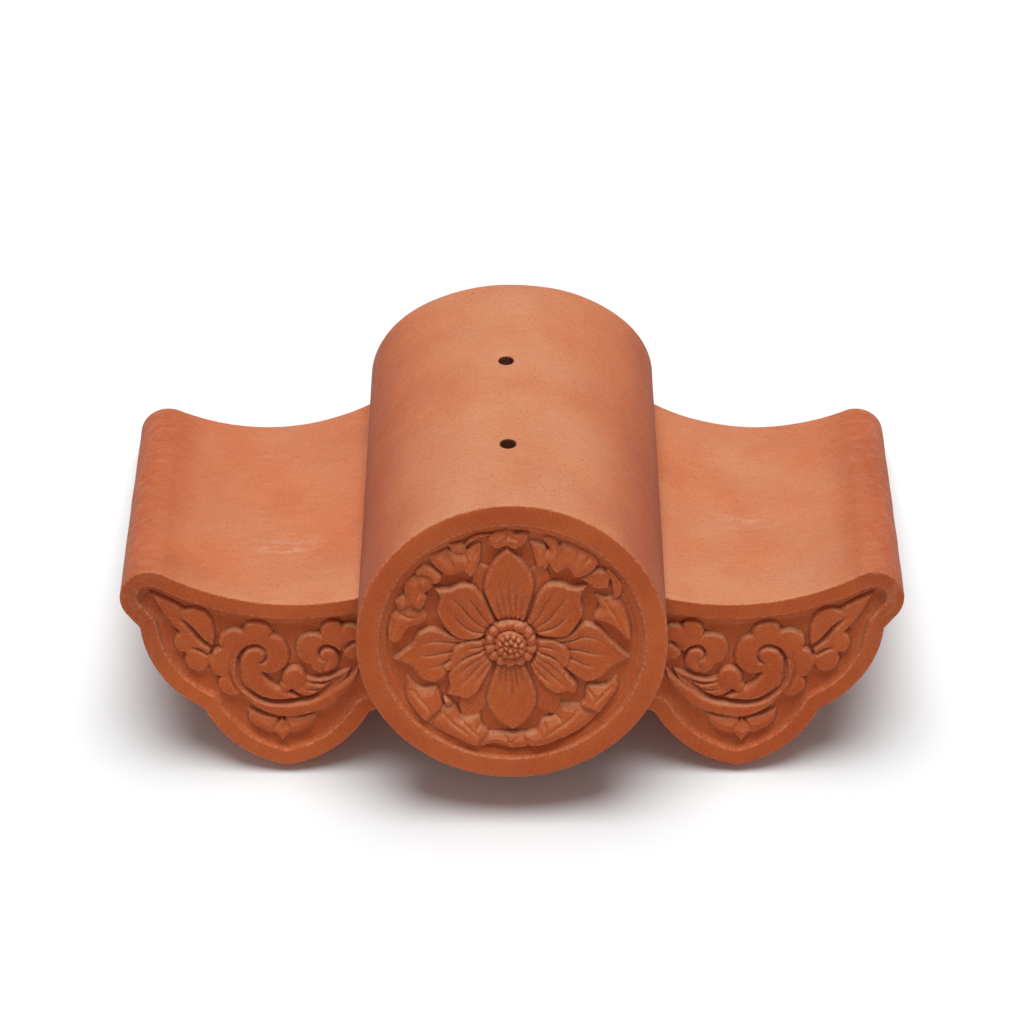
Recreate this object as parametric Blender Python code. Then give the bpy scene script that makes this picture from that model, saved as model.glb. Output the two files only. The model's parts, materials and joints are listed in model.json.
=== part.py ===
"""Eaves tile set in unglazed terracotta: a round-ended cap tile laid across two drip tiles.

Everything is modelled in the roof's own frame, in metres: the origin is the middle of the end
disc's front, +X points right, +Y runs back up the roof and +Z away from the roof bed. A parent
empty then tips the set onto what it stands on, the two drip tips and the pans' back edges.
"""
import math

import bmesh
import bpy
from mathutils import Matrix, Vector

MM = 0.001

# Cap tile: an end disc and the half-round barrel behind it.
DISC_RADIUS = 70 * MM
DISC_THICKNESS = 18 * MM
DISC_RIM = 10 * MM
DISC_RECESS = 4.5 * MM
BARREL_LENGTH = 240 * MM
BARREL_WALL = 12.5 * MM
BARREL_CROWN_DROP = 1.4 * MM
BARREL_STILT = (0.0, 0.275)
NAIL_HOLE_DIAMETER = 7 * MM
NAIL_HOLE_PLACES = ((-1.8 * MM, 62 * MM), (-2.8 * MM, 151 * MM))

# Drip tiles: a hollow pan and the lobed face that hangs from its front.
FACE_FRONT = 31 * MM
FACE_THICKNESS = 13 * MM
PAN_BACK = 235 * MM
PAN_THICKNESS = 17 * MM
PAN_HALF_WIDTH = 76 * MM
LIP_RADIUS = 14 * MM
PAN_CENTRE = (102.5 * MM, 110 * MM)
PAN_TROUGH = (3.3 * MM, -6.7 * MM)
PAN_HOLLOW = (120 * MM, 110 * MM)
PAN_ROLL = (math.radians(-1.5), math.radians(6.5))

# The lobed outline below the pan, measured from the middle of the trough.
NECK_ANGLE = math.radians(-41)
UPPER_NOTCH = (67 * MM, -14.4 * MM)
LOWER_NOTCH = (38 * MM, -56 * MM)
TIP_DROP = 85.3 * MM
TIP_RADIUS = 0.9 * MM
SIDE_LOBE_BULGE = 6.5 * MM
TIP_LOBE_BULGE = 5.6 * MM
FACE_BORDER = 8 * MM
FACE_RECESS = 4 * MM

EDGE_CHAMFER = 1.2 * MM
WALL_DRAFT = 1.5 * MM
RELIEF_ROOT = 1 * MM
TILE_GAP = 0.3 * MM
CORNER_SPREAD = 0.4 * MM

CLAY_RED = (0.47, 0.165, 0.075)
CLAY_ROUGHNESS = 0.85

ARCH_STEPS = 30
DISC_LOWER_STEPS = 32
TROUGH_STEPS = 16
SOFFIT_STEPS = 9
LIP_STEPS = 7
LIP_UNDER_STEPS = 4
LOBE_STEPS = 5
NAIL_HOLE_SIDES = 16
DOME_TURN = 0.11


def clear_scene():
    for old in list(bpy.data.objects):
        bpy.data.objects.remove(old, do_unlink=True)


def terracotta(name):
    """Fired red earthenware: matt, with no glaze."""
    material = bpy.data.materials.new(name)
    material.use_nodes = True
    shader = material.node_tree.nodes["Principled BSDF"]
    shader.inputs["Base Color"].default_value = (*CLAY_RED, 1)
    shader.inputs["Roughness"].default_value = CLAY_ROUGHNESS
    shader.inputs["Metallic"].default_value = 0
    return material


def finish_object(name, bm, parent):
    """Close the mesh's normals outward and hang it from the parent as one named tile."""
    bmesh.ops.recalc_face_normals(bm, faces=bm.faces)
    mesh = bpy.data.meshes.new(name)
    bm.to_mesh(mesh)
    bm.free()
    tile = bpy.data.objects.new(name, mesh)
    bpy.context.scene.collection.objects.link(tile)
    tile.parent = parent
    return tile


def hide_tool(tool):
    """A cutter or a relief blank works through a Boolean and isn't a piece itself."""
    tool.hide_render = True
    tool.display_type = "WIRE"


def boolean(tile, tool, operation):
    cut = tile.modifiers.new(tool.name, "BOOLEAN")
    cut.operation = operation
    cut.solver = "EXACT"
    cut.use_self = True
    cut.object = tool


def shade(tile):
    tile.data.shade_smooth()
    tile.data.set_sharp_from_angle(angle=math.radians(35))


def blend(pair, share):
    return pair[0] + (pair[1] - pair[0]) * share


def steps(start, end, count):
    """The count + 1 values that divide start to end evenly."""
    return [start + (end - start) * i / count for i in range(count + 1)]


def add_ring(bm, points):
    return [bm.verts.new(point) for point in points]


def bridge(bm, ring_a, ring_b):
    """Join two closed rings of equal length with a band of four-sided faces."""
    for i in range(len(ring_a)):
        j = (i + 1) % len(ring_a)
        bm.faces.new((ring_a[i], ring_a[j], ring_b[j], ring_b[i]))


# ---------------------------------------------------------------- the pan's cross section


def pan_share(y):
    """How far along the pan y lies: 0 at the drip face's front, 1 at the pan's back end."""
    return min(max((y - FACE_FRONT) / (PAN_BACK - FACE_FRONT), 0), 1)


def pan_place(y, u, w):
    """Where (u, w) lies: u outward and w up from the trough's middle, turned by the roll."""
    share = pan_share(y)
    roll = -blend(PAN_ROLL, share)
    x = blend(PAN_CENTRE, share) + u * math.cos(roll) - w * math.sin(roll)
    z = blend(PAN_TROUGH, share) + u * math.sin(roll) + w * math.cos(roll)
    return x, z


def pan_top(x, y):
    """Height of the pan's hollow face under the distance x from the set's middle."""
    radius = blend(PAN_HOLLOW, pan_share(y))
    centre_x, centre_z = pan_place(y, 0, radius)
    return centre_z - math.sqrt(radius ** 2 - (x - centre_x) ** 2)


def lip_circle(radius):
    """Middle of the round lip, and the angle of its touch on a hollow of that radius."""
    reach = PAN_HALF_WIDTH - LIP_RADIUS
    slope = math.asin(reach / (radius + LIP_RADIUS))
    middle = Vector((reach, radius - (radius + LIP_RADIUS) * math.cos(slope)))
    return middle, slope


def lip_points(radius, start, end, count):
    middle, _ = lip_circle(radius)
    return [middle + LIP_RADIUS * Vector((math.cos(a), math.sin(a))) for a in steps(start, end, count)]


def mirrored(points):
    """The same run of (u, w) points on the other side of the trough, in reverse order."""
    return [Vector((-p.x, p.y)) for p in reversed(points)]


def crest(radius):
    """Neck to neck over the top: round lip, hollow and round lip, from outer to inner."""
    _, slope = lip_circle(radius)
    outer = lip_points(radius, NECK_ANGLE, math.pi / 2 + slope, LIP_STEPS)
    hollow = [Vector((radius * math.sin(a), radius - radius * math.cos(a)))
              for a in steps(slope, -slope, TROUGH_STEPS)]
    return outer + hollow[1:-1] + mirrored(outer)


def underside(radius):
    """Below the pan from the inner neck to the outer one, without the necks themselves."""
    _, slope = lip_circle(radius)
    lower = radius + PAN_THICKNESS
    away = radius + LIP_RADIUS
    turn = math.acos((away ** 2 + LIP_RADIUS ** 2 - lower ** 2) / (2 * away * LIP_RADIUS))
    meet_angle = math.pi / 2 + slope + turn - 2 * math.pi
    outer = lip_points(radius, meet_angle, NECK_ANGLE, LIP_UNDER_STEPS)[:-1]
    meet = math.atan2(outer[0].x, radius - outer[0].y)
    soffit = [Vector((lower * math.sin(a), radius - lower * math.cos(a)))
              for a in steps(-meet, meet, SOFFIT_STEPS)]
    return mirrored(outer) + soffit[1:-1] + outer


def bulged(start, end, bulge, count):
    """Points along an arc from start to end that stands out by bulge on its right side."""
    chord = end - start
    radius = (chord.length ** 2 / 4 + bulge ** 2) / (2 * bulge)
    outward = Vector((chord.y, -chord.x)).normalized()
    centre = (start + end) / 2 + outward * (bulge - radius)
    first = (start - centre)
    sweep = 2 * math.asin(chord.length / 2 / radius)
    return [centre + Matrix.Rotation(sweep * i / count, 2) @ first for i in range(count + 1)]


def lobes():
    """The hanging outline from the inner upper notch round the tip to the outer one."""
    upper, notch = Vector(UPPER_NOTCH), Vector(LOWER_NOTCH)
    tip = Vector((TIP_RADIUS, -TIP_DROP))
    side = bulged(notch, upper, SIDE_LOBE_BULGE, LOBE_STEPS)
    central = bulged(tip, notch, TIP_LOBE_BULGE, LOBE_STEPS)
    outer = [Vector((0, -TIP_DROP - TIP_RADIUS / 2))] + central + side[1:]
    return mirrored(outer[1:]) + outer


def inset(points, distance):
    """A closed outline moved inward by distance, mitred at its corners.

    Where a corner is rounded more tightly than the distance, its points would cross over,
    so they are gathered side by side at their middle instead.
    """
    count = len(points)
    moved = []
    for i, point in enumerate(points):
        before = (point - points[i - 1]).normalized()
        after = (points[(i + 1) % count] - point).normalized()
        inward = Vector((-before.y - after.y, before.x + after.x)).normalized()
        across = Vector((-before.y, before.x))
        moved.append(point + inward * distance / max(inward.dot(across), 0.5))
    crossed = [i for i in range(count - 1)
               if (moved[i + 1] - moved[i]).dot(points[i + 1] - points[i]) <= 0]
    if crossed:
        first, last = crossed[0], crossed[-1] + 1
        middle = sum((moved[i] for i in range(first, last + 1)), Vector((0, 0))) / (last + 1 - first)
        along = (points[last] - points[first]).normalized()
        for i in range(first, last + 1):
            moved[i] = middle + along * CORNER_SPREAD * (i - (first + last) / 2)
    return moved


# ---------------------------------------------------------------- raised ornament


def ribbon(bm, place, spine, half_width, height, profile, count):
    """A raised leaf or scroll band: a closed strip that follows a spine on a flat field.

    spine, half_width and height are functions of the share 0 to 1 along the strip, profile
    lists the share of the height at even places across it, and place turns field
    coordinates and a height into a point.
    """
    rings = []
    for i in range(count + 1):
        share = i / count
        here = spine(share)
        ahead = spine(share + 0.01) - spine(share - 0.01)
        across = Vector((-ahead.y, ahead.x)).normalized() * half_width(share)
        row = [here + across * s for s in steps(-1, 1, len(profile) - 1)]
        ring = [place(p, height(share) * part) for p, part in zip(row, profile)]
        ring += [place(row[-1], -RELIEF_ROOT), place(row[0], -RELIEF_ROOT)]
        rings.append(add_ring(bm, ring))
    for ring_a, ring_b in zip(rings, rings[1:]):
        bridge(bm, ring_a, ring_b)
    bm.faces.new(rings[0])
    bm.faces.new(rings[-1])


def dome(bm, place, middle, radius, height, segments, shoulders):
    """A round raised knob: a short wall from the field, then shoulder rings and a top."""
    rings = []
    for spread, rise in ((1, -RELIEF_ROOT), *((s, height * h) for s, h in shoulders)):
        rings.append(add_ring(bm, [
            place(middle + polar(spread * radius, a), rise)
            for a in steps(DOME_TURN, DOME_TURN + 2 * math.pi, segments)[:-1]]))
    for ring_a, ring_b in zip(rings, rings[1:]):
        bridge(bm, ring_a, ring_b)
    bm.faces.new(rings[0])
    bm.faces.new(rings[-1])


def straight(start, end):
    return lambda share: start.lerp(end, share)


def leaf_width(width, widest):
    """Half width of a leaf that is pointed at its tip and widest at a share of its length."""
    rise = widest / (1 - widest)
    peak = widest ** rise * (1 - widest)
    least = 0.04
    return lambda share: width * max(share ** rise * (1 - share) / peak, least)


def polar(radius, angle):
    return radius * Vector((math.cos(angle), math.sin(angle)))


# ---------------------------------------------------------------- the cap tile


FLOWER_BOSS = 11.5 * MM
FLOWER_HEART = 7.2 * MM
FLOWER_BEADS = 14
PETAL_HEIGHT = 3.4 * MM
# Each petal: direction in degrees from the right, tip distance, half width and lift.
PETALS = (
    (189, 54.0 * MM, 13.2 * MM, 0.9),
    (-9, 53.0 * MM, 13.2 * MM, 0.9),
    (92, 47.0 * MM, 11.2 * MM, 1.0),
    (-90, 46.3 * MM, 11.2 * MM, 1.0),
    (143, 44.6 * MM, 13.0 * MM, 1.12),
    (40, 44.0 * MM, 13.0 * MM, 1.12),
    (225, 39.8 * MM, 8.7 * MM, 1.2),
    (-43, 39.1 * MM, 9.0 * MM, 1.2),
)
WREATH_RADIUS = (47.5 * MM, 58.5 * MM)
WREATH_LEAVES = 26
WREATH_LEAN = math.radians(4.6)


def disc_place(point, height):
    """A point of the end disc's field, height standing out of it toward the viewer."""
    return point.x, DISC_RECESS - height, point.y


def petal(bm, angle, tip, width, lift):
    ribbon(bm, disc_place,
           straight(polar(FLOWER_BOSS * 0.7, angle), polar(tip, angle)),
           leaf_width(width, 0.55),
           lambda share: lift * PETAL_HEIGHT * (0.75 + 0.25 * math.sin(math.pi * share)),
           (0.75, 1, 0.8, 1, 0.75), 6)


def flower(bm):
    for degrees, tip, width, lift in PETALS:
        petal(bm, math.radians(degrees), tip, width, lift)
    dome(bm, disc_place, Vector((0, 0)), FLOWER_BOSS, 3.6 * MM, 20, ((1, 0.8), (0.9, 1)))
    dome(bm, disc_place, Vector((0, 0)), FLOWER_HEART, 4.4 * MM, 14, ((1, 0.85), (0.7, 1)))
    for i in range(FLOWER_BEADS):
        middle = polar((FLOWER_BOSS + FLOWER_HEART) / 2, 2 * math.pi * i / FLOWER_BEADS)
        dome(bm, disc_place, middle, 1.7 * MM, 4.3 * MM, 6, ((1, 0.85), (0.55, 1)))


def wreath(bm):
    """Small pointed leaves round the flower, leaning to and fro."""
    for i in range(WREATH_LEAVES):
        angle = 2 * math.pi * (i + 0.5) / WREATH_LEAVES
        lean = WREATH_LEAN if i % 2 else -WREATH_LEAN
        ribbon(bm, disc_place,
               straight(polar(WREATH_RADIUS[1], angle - lean), polar(WREATH_RADIUS[0], angle + lean)),
               leaf_width(5.5 * MM, 0.4), lambda share: 2.6 * MM - 1.2 * MM * share,
               (0.6, 1, 0.6), 3)


def arch_width(height, stilt):
    """Half the width of an arch on straight feet, at a height. At its feet and crown it is 1."""
    return math.sqrt(1 - (max(0.0, height - stilt) / (1 - stilt)) ** 2)


def arch_reach(angle, stilt):
    """How far the same arch reaches from the middle of its base at an angle."""
    across, up = abs(math.cos(angle)), math.sin(angle)
    if up <= stilt * across:
        return 1 / across
    square = (across * (1 - stilt)) ** 2 + up ** 2
    lean = up * stilt
    return (lean + math.sqrt(lean ** 2 + square * (1 - 2 * stilt))) / square


def barrel_edge(y, wall):
    """Where the barrel's outer or inner face meets the pans: its distance x and height."""
    share = y / BARREL_LENGTH
    wide = DISC_RADIUS - wall
    tall = DISC_RADIUS - BARREL_CROWN_DROP * share - wall
    x = wide
    for _ in range(4):
        z = pan_top(x, y) + TILE_GAP
        x = wide * arch_width(z / tall, blend(BARREL_STILT, share))
    return x, z


def barrel_arch(y, wall, lift=0.0):
    """The barrel's outer (wall 0) or inner face at y, from the right edge over to the left."""
    share = (y - DISC_THICKNESS) / (BARREL_LENGTH - DISC_THICKNESS)
    wide = DISC_RADIUS - wall
    tall = DISC_RADIUS - BARREL_CROWN_DROP * share - wall
    stilt = blend(BARREL_STILT, share)
    foot = (barrel_edge(y, wall)[1] + lift) / tall
    start = math.atan2(foot, arch_width(foot, stilt))
    points = []
    for angle in steps(start, math.pi - start, ARCH_STEPS):
        reach = arch_reach(angle, stilt)
        points.append((wide * reach * math.cos(angle), y, tall * reach * math.sin(angle)))
    return points


def disc_ring(bm, radius, y, start):
    """A full circle of the disc, with the same angles as the barrel's arch above its edges."""
    upper = steps(start, math.pi - start, ARCH_STEPS)
    lower = steps(math.pi - start, 2 * math.pi + start, DISC_LOWER_STEPS)
    return add_ring(bm, [(radius * math.cos(a), y, radius * math.sin(a)) for a in upper + lower[1:-1]])


def cap_body():
    bm = bmesh.new()
    _, edge = barrel_edge(DISC_THICKNESS, 0)
    start = math.asin(edge / DISC_RADIUS)
    profile = (
        (DISC_RADIUS - DISC_RIM - WALL_DRAFT, DISC_RECESS),
        (DISC_RADIUS - DISC_RIM, 0),
        (DISC_RADIUS - EDGE_CHAMFER, 0),
        (DISC_RADIUS, EDGE_CHAMFER),
        (DISC_RADIUS, DISC_THICKNESS),
    )
    rings = [disc_ring(bm, radius, y, start) for radius, y in profile]
    for ring_a, ring_b in zip(rings, rings[1:]):
        bridge(bm, ring_a, ring_b)
    bm.faces.new(rings[0])

    back = rings[-1]
    outer = back[:ARCH_STEPS + 1]
    inner = add_ring(bm, barrel_arch(DISC_THICKNESS, BARREL_WALL))
    bm.faces.new([outer[-1]] + back[ARCH_STEPS + 1:] + [outer[0]] + inner)

    chamfer_start = BARREL_LENGTH - EDGE_CHAMFER
    loop = outer + list(reversed(inner))
    for y in steps(DISC_THICKNESS, chamfer_start, 6)[1:]:
        ring = add_ring(bm, barrel_arch(y, 0) + list(reversed(barrel_arch(y, BARREL_WALL))))
        bridge(bm, loop, ring)
        loop = ring
    end = add_ring(bm, barrel_arch(BARREL_LENGTH, EDGE_CHAMFER, EDGE_CHAMFER) + list(reversed(
        barrel_arch(BARREL_LENGTH, BARREL_WALL - EDGE_CHAMFER, EDGE_CHAMFER))))
    bridge(bm, loop, end)
    bm.faces.new(end)
    return bm


def nail_cutter(parent):
    """Two upright pins whose shape is left in the crown as nail holes."""
    bm = bmesh.new()
    for x, y in NAIL_HOLE_PLACES:
        place = Matrix.Translation((x, y, DISC_RADIUS - BARREL_WALL / 2))
        bmesh.ops.create_cone(bm, cap_ends=True, segments=NAIL_HOLE_SIDES, depth=2 * BARREL_WALL,
                              radius1=NAIL_HOLE_DIAMETER / 2, radius2=NAIL_HOLE_DIAMETER / 2,
                              matrix=place @ Matrix.Rotation(math.pi / NAIL_HOLE_SIDES, 4, "Z"))
    cutter = finish_object("nail_holes", bm, parent)
    hide_tool(cutter)
    return cutter


def make_cap_tile(parent):
    tile = finish_object("cap_tile", cap_body(), parent)
    tile.data.materials.append(terracotta("cap_terracotta"))
    bm = bmesh.new()
    flower(bm)
    wreath(bm)
    ornament = finish_object("flower_relief", bm, parent)
    hide_tool(ornament)
    boolean(tile, nail_cutter(parent), "DIFFERENCE")
    boolean(tile, ornament, "UNION")
    shade(tile)
    return tile


# ---------------------------------------------------------------- the drip tiles


RELIEF_HEIGHT = 3 * MM
SCROLL_EYE = Vector((11.5 * MM, -28 * MM))
SMALL_EYE = Vector((-19 * MM, -25.5 * MM))


def spiral(eye, radius, growth, start, end):
    """A scroll's line: a spiral about its eye, radius at 0 degrees, between two angles."""
    return lambda share: eye + polar(radius * math.exp(-growth * blend((start, end), share)),
                                     blend((start, end), share))


def scrolls(bm, place):
    """The big scroll that sweeps under the face, the small one beside it, and their clouds."""
    def swelling(width):
        return lambda share: width * (0.3 + 0.7 * math.sin(math.pi * min(share * 1.1, 1)) ** 0.5)

    def level(share):
        return RELIEF_HEIGHT
    band = (0.5, 1, 0.5)
    turn = math.radians(360)
    ribbon(bm, place, spiral(SCROLL_EYE, 17 * MM, 0.33, 0.8 * turn, -0.47 * turn),
           swelling(3.6 * MM), level, band, 26)
    ribbon(bm, place, spiral(SMALL_EYE, 8 * MM, 0.3, -0.3 * turn, 0.55 * turn),
           swelling(2.4 * MM), level, band, 12)
    for degrees, reach, size in ((15, 20, 5.5), (60, 18, 5.5), (100, 17, 5.5), (145, 14, 5), (190, 12, 5)):
        middle = SCROLL_EYE + polar(reach * MM, math.radians(degrees))
        dome(bm, place, middle, size * MM, 2.4 * MM, 10, ((1, 0.6), (0.7, 1)))
    for degrees in (20, 80, 140, 200):
        middle = SMALL_EYE + polar(9.5 * MM, math.radians(degrees))
        dome(bm, place, middle, 4 * MM, 2.2 * MM, 10, ((1, 0.6), (0.7, 1)))


def leaves(bm, place):
    """The pointed corner leaf with its round lobes, the comma leaf, and the bud at the tip."""
    def soft(height):
        return lambda share: height
    keel = (0.55, 1, 0.7, 1, 0.55)
    ribbon(bm, place, straight(Vector((31, -25)) * MM, Vector((61, 6)) * MM),
           leaf_width(5.5 * MM, 0.35), soft(2.6 * MM), keel, 6)
    for u, w, size in ((40, -9, 7), (49, -17, 4.5), (42, -27, 6.5)):
        dome(bm, place, Vector((u, w)) * MM, size * MM, 2.4 * MM, 12, ((1, 0.6), (0.75, 1)))
    ribbon(bm, place, straight(Vector((4, -36)) * MM, Vector((-26, -40)) * MM),
           leaf_width(4.5 * MM, 0.25), soft(2.5 * MM), keel, 5)
    for side in (-1, 1):
        ribbon(bm, place, straight(Vector((2 * side, -67)) * MM, Vector((17 * side, -59)) * MM),
               leaf_width(3.2 * MM, 0.4), soft(2.4 * MM), (0.6, 1, 0.6), 4)
    ribbon(bm, place, straight(Vector((0.2, -71)) * MM, Vector((0, -60)) * MM),
           leaf_width(4.5 * MM, 0.45), soft(3 * MM), (0.5, 1, 0.5), 4)


def drip_body(side):
    """One drip tile, drawn to the right of the middle and turned over for the left one."""
    def ring_at(y, points):
        return add_ring(bm, [(side * x, y, z) for x, z in (pan_place(y, p.x, p.y) for p in points)])

    bm = bmesh.new()
    radius = PAN_HOLLOW[0]
    outline = crest(radius) + lobes()
    border = inset(outline, FACE_BORDER)
    rings = [
        ring_at(FACE_FRONT + FACE_RECESS, inset(border, WALL_DRAFT)),
        ring_at(FACE_FRONT, border),
        ring_at(FACE_FRONT, inset(outline, EDGE_CHAMFER)),
        ring_at(FACE_FRONT + EDGE_CHAMFER, outline),
        ring_at(FACE_FRONT + FACE_THICKNESS, outline),
    ]
    for ring_a, ring_b in zip(rings, rings[1:]):
        bridge(bm, ring_a, ring_b)
    bm.faces.new(rings[0])

    back = rings[-1]
    crest_size = len(crest(radius))
    under = ring_at(FACE_FRONT + FACE_THICKNESS, underside(radius))
    bm.faces.new(back[crest_size - 1:] + [back[0]] + list(reversed(under)))
    loop = back[:crest_size] + under
    for y in steps(FACE_FRONT + FACE_THICKNESS, PAN_BACK - EDGE_CHAMFER, 5)[1:]:
        radius = blend(PAN_HOLLOW, pan_share(y))
        ring = ring_at(y, crest(radius) + underside(radius))
        bridge(bm, loop, ring)
        loop = ring
    end = ring_at(PAN_BACK, inset(crest(radius) + underside(radius), EDGE_CHAMFER))
    bridge(bm, loop, end)
    bm.faces.new(end)
    return bm


def make_drip_tile(name, side, parent):
    def place(point, height):
        x, z = pan_place(FACE_FRONT, point.x, point.y)
        return side * x, FACE_FRONT + FACE_RECESS - height, z

    tile = finish_object(name, drip_body(side), parent)
    tile.data.materials.append(terracotta(name.replace("tile", "terracotta")))
    bm = bmesh.new()
    scrolls(bm, place)
    leaves(bm, place)
    ornament = finish_object(name.replace("tile", "relief"), bm, parent)
    hide_tool(ornament)
    boolean(tile, ornament, "UNION")
    shade(tile)
    return tile


# ---------------------------------------------------------------- standing the set


def stand(frame, tiles):
    """Tip the frame so that the tips and the pans' back edges touch the ground together,
    with the middle of the whole set's box over the origin."""
    corners = [Vector(v.co) for tile in tiles for v in tile.data.vertices]
    front = [c for c in corners if c.y <= FACE_FRONT + FACE_THICKNESS + TILE_GAP]
    back = [c for c in corners if c.y > PAN_BACK / 2]
    slope = 0.0
    for _ in range(8):
        turn = Matrix.Rotation(-slope, 3, "X")
        tip = min((turn @ c for c in front), key=lambda c: c.z)
        heel = min((turn @ c for c in back), key=lambda c: c.z)
        slope += math.atan2(heel.z - tip.z, heel.y - tip.y)
    turn = Matrix.Rotation(-slope, 3, "X")
    turned = [turn @ c for c in corners]
    middle = [(min(c[i] for c in turned) + max(c[i] for c in turned)) / 2 for i in (0, 1)]
    frame.rotation_euler = (-slope, 0, 0)
    frame.location = (-middle[0], -middle[1], -min(c.z for c in turned))


def main():
    clear_scene()
    frame = bpy.data.objects.new("roof_frame", None)
    bpy.context.scene.collection.objects.link(frame)
    tiles = [
        make_cap_tile(frame),
        make_drip_tile("left_drip_tile", -1, frame),
        make_drip_tile("right_drip_tile", 1, frame),
    ]
    stand(frame, tiles)


main()
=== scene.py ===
# %% [markdown]
# # A set of three terracotta eaves tiles
# Two drip tiles lie side by side with their hollow sides up, and a cap tile with a round end
# covers the joint between them. All three are pressed in moulds from red clay and fired without
# a glaze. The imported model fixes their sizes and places, so this script only adds what makes
# them look real: the full relief, worn edges and the clay itself.

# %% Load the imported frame
import json
import math
from functools import partial

import bmesh
import bpy
import numpy as np
from mathutils import Matrix, Vector, noise
from mathutils.geometry import delaunay_2d_cdt


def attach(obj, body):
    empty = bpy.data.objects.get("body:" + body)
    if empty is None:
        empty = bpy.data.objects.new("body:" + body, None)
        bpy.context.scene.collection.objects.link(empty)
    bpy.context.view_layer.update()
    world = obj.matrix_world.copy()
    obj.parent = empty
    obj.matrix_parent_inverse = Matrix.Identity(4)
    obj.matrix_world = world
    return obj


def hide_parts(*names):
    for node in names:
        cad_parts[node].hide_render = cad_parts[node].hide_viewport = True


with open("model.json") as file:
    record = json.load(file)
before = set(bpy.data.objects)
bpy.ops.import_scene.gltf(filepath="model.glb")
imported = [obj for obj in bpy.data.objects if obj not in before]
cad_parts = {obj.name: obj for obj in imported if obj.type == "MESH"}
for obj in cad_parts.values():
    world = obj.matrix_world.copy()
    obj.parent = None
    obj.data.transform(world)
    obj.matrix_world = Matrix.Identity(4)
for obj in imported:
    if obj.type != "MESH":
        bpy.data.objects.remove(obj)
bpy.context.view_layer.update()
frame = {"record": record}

# %% [markdown]
# ## The roof's own frame
# A tile is easiest to describe as it lies on the roof: x across, y up the slope and z away from
# the roof bed, with the middle of the round end's front as the origin. The set itself rests on
# the ground with its front raised, so everything is drawn in the roof's frame in millimetres
# and turned at the end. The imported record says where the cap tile's back end is and which way
# it faces, and that is enough to find the turn.

# %% Find the roof's frame from the record
MM = 0.001
BARREL_LENGTH = 240
CROWN_MIDDLE = 62.2  # height of the back end's mark, in the middle of the crown's wall

back_end = {m["name"]: m for m in frame["record"]["mounts"]}["cap_back_end"]
slope = math.atan2(-back_end["axis"][2], back_end["axis"][1])
turn = Matrix.Rotation(-slope, 4, "X")
origin = Vector(back_end["pos_m"]) - turn @ (Vector((0, BARREL_LENGTH, CROWN_MIDDLE)) * MM)
ROOF = Matrix.Translation(origin) @ turn
print(f"the roof's frame is tipped {math.degrees(slope):.2f} degrees about {tuple(origin)}")

# %% [markdown]
# ## The camera
# A long lens from nearly two metres keeps the three tiles in true proportion, with only a little
# more height in the near disc than in the far end of the barrel. The camera is set out from the
# middle of the disc in the roof's frame, because every face with relief is square to it.

# %% Set up the camera
CAMERA_DISTANCE = 1781.5
CAMERA_RISE = math.radians(29.465)  # how far above the roof bed the camera stands
CAMERA_PITCH = math.radians(27.56)  # how far down from the roof bed it looks
LENS = 139.6
SENSOR = 36

camera = bpy.data.objects.new("camera", bpy.data.cameras.new("camera"))
camera.data.lens = LENS
camera.data.sensor_width = SENSOR
stand_point = Vector((0, -math.cos(CAMERA_RISE), math.sin(CAMERA_RISE))) * CAMERA_DISTANCE * MM
camera.matrix_world = (ROOF @ Matrix.Translation(stand_point)
                       @ Matrix.Rotation(math.pi / 2 - CAMERA_PITCH, 4, "X"))
bpy.context.scene.collection.objects.link(camera)
bpy.context.scene.camera = camera
bpy.context.scene.view_settings.view_transform = "Standard"
print("camera at", tuple(round(c, 3) for c in camera.matrix_world.translation))

# %% [markdown]
# ## Places on a face as complex numbers
# Each face is flat behind its relief, so a place on it needs two numbers. Keeping them in one
# complex number, across + 1j * up, makes turning, measuring and following a curve one short
# line each, for sixty thousand places at once.
#
# Three tools are enough to draw every leaf and scroll: a smooth curve through a few places, the
# place beside a curve, and the depth inside an outline. The alternative, modelling each
# leaf as its own mesh and joining them, costs far more and leaves seams that pressed clay
# doesn't have.

# %% Draw smooth curves


def polar(radius, degrees):
    return radius * np.exp(1j * np.radians(degrees))


def eased(share, keys):
    """A smooth curve through (share, value) keys; the values may be complex places."""
    at = np.array([key[0] for key in keys], float)
    value = np.array([key[1] for key in keys])
    slopes = np.gradient(value, at)
    share = np.clip(share, at[0], at[-1])
    i = np.clip(np.searchsorted(at, share) - 1, 0, len(at) - 2)
    gap = at[i + 1] - at[i]
    t = (share - at[i]) / gap
    rise = t * t * (3 - 2 * t)
    return (value[i] * (1 - rise) + value[i + 1] * rise
            + gap * (slopes[i] * t * (1 - t) ** 2 - slopes[i + 1] * t * t * (1 - t)))


def through(*places, count=40):
    """A smooth path through the places."""
    gone = np.concatenate(([0], np.cumsum(np.abs(np.diff(places)))))
    return eased(np.linspace(0, gone[-1], count), list(zip(gone, places)))


def rounded(corners, count):
    """A smooth closed outline through the corners."""
    return through(*corners, corners[0], count=count)[:-1]


def around(count):
    """Even places round the unit circle."""
    return np.exp(1j * np.linspace(0, 2 * math.pi, count + 1)[:-1])


print("a quarter turn ends at", through(1, polar(1, 45), 1j)[-1])

# %% Measure beside curves and inside outlines


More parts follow.
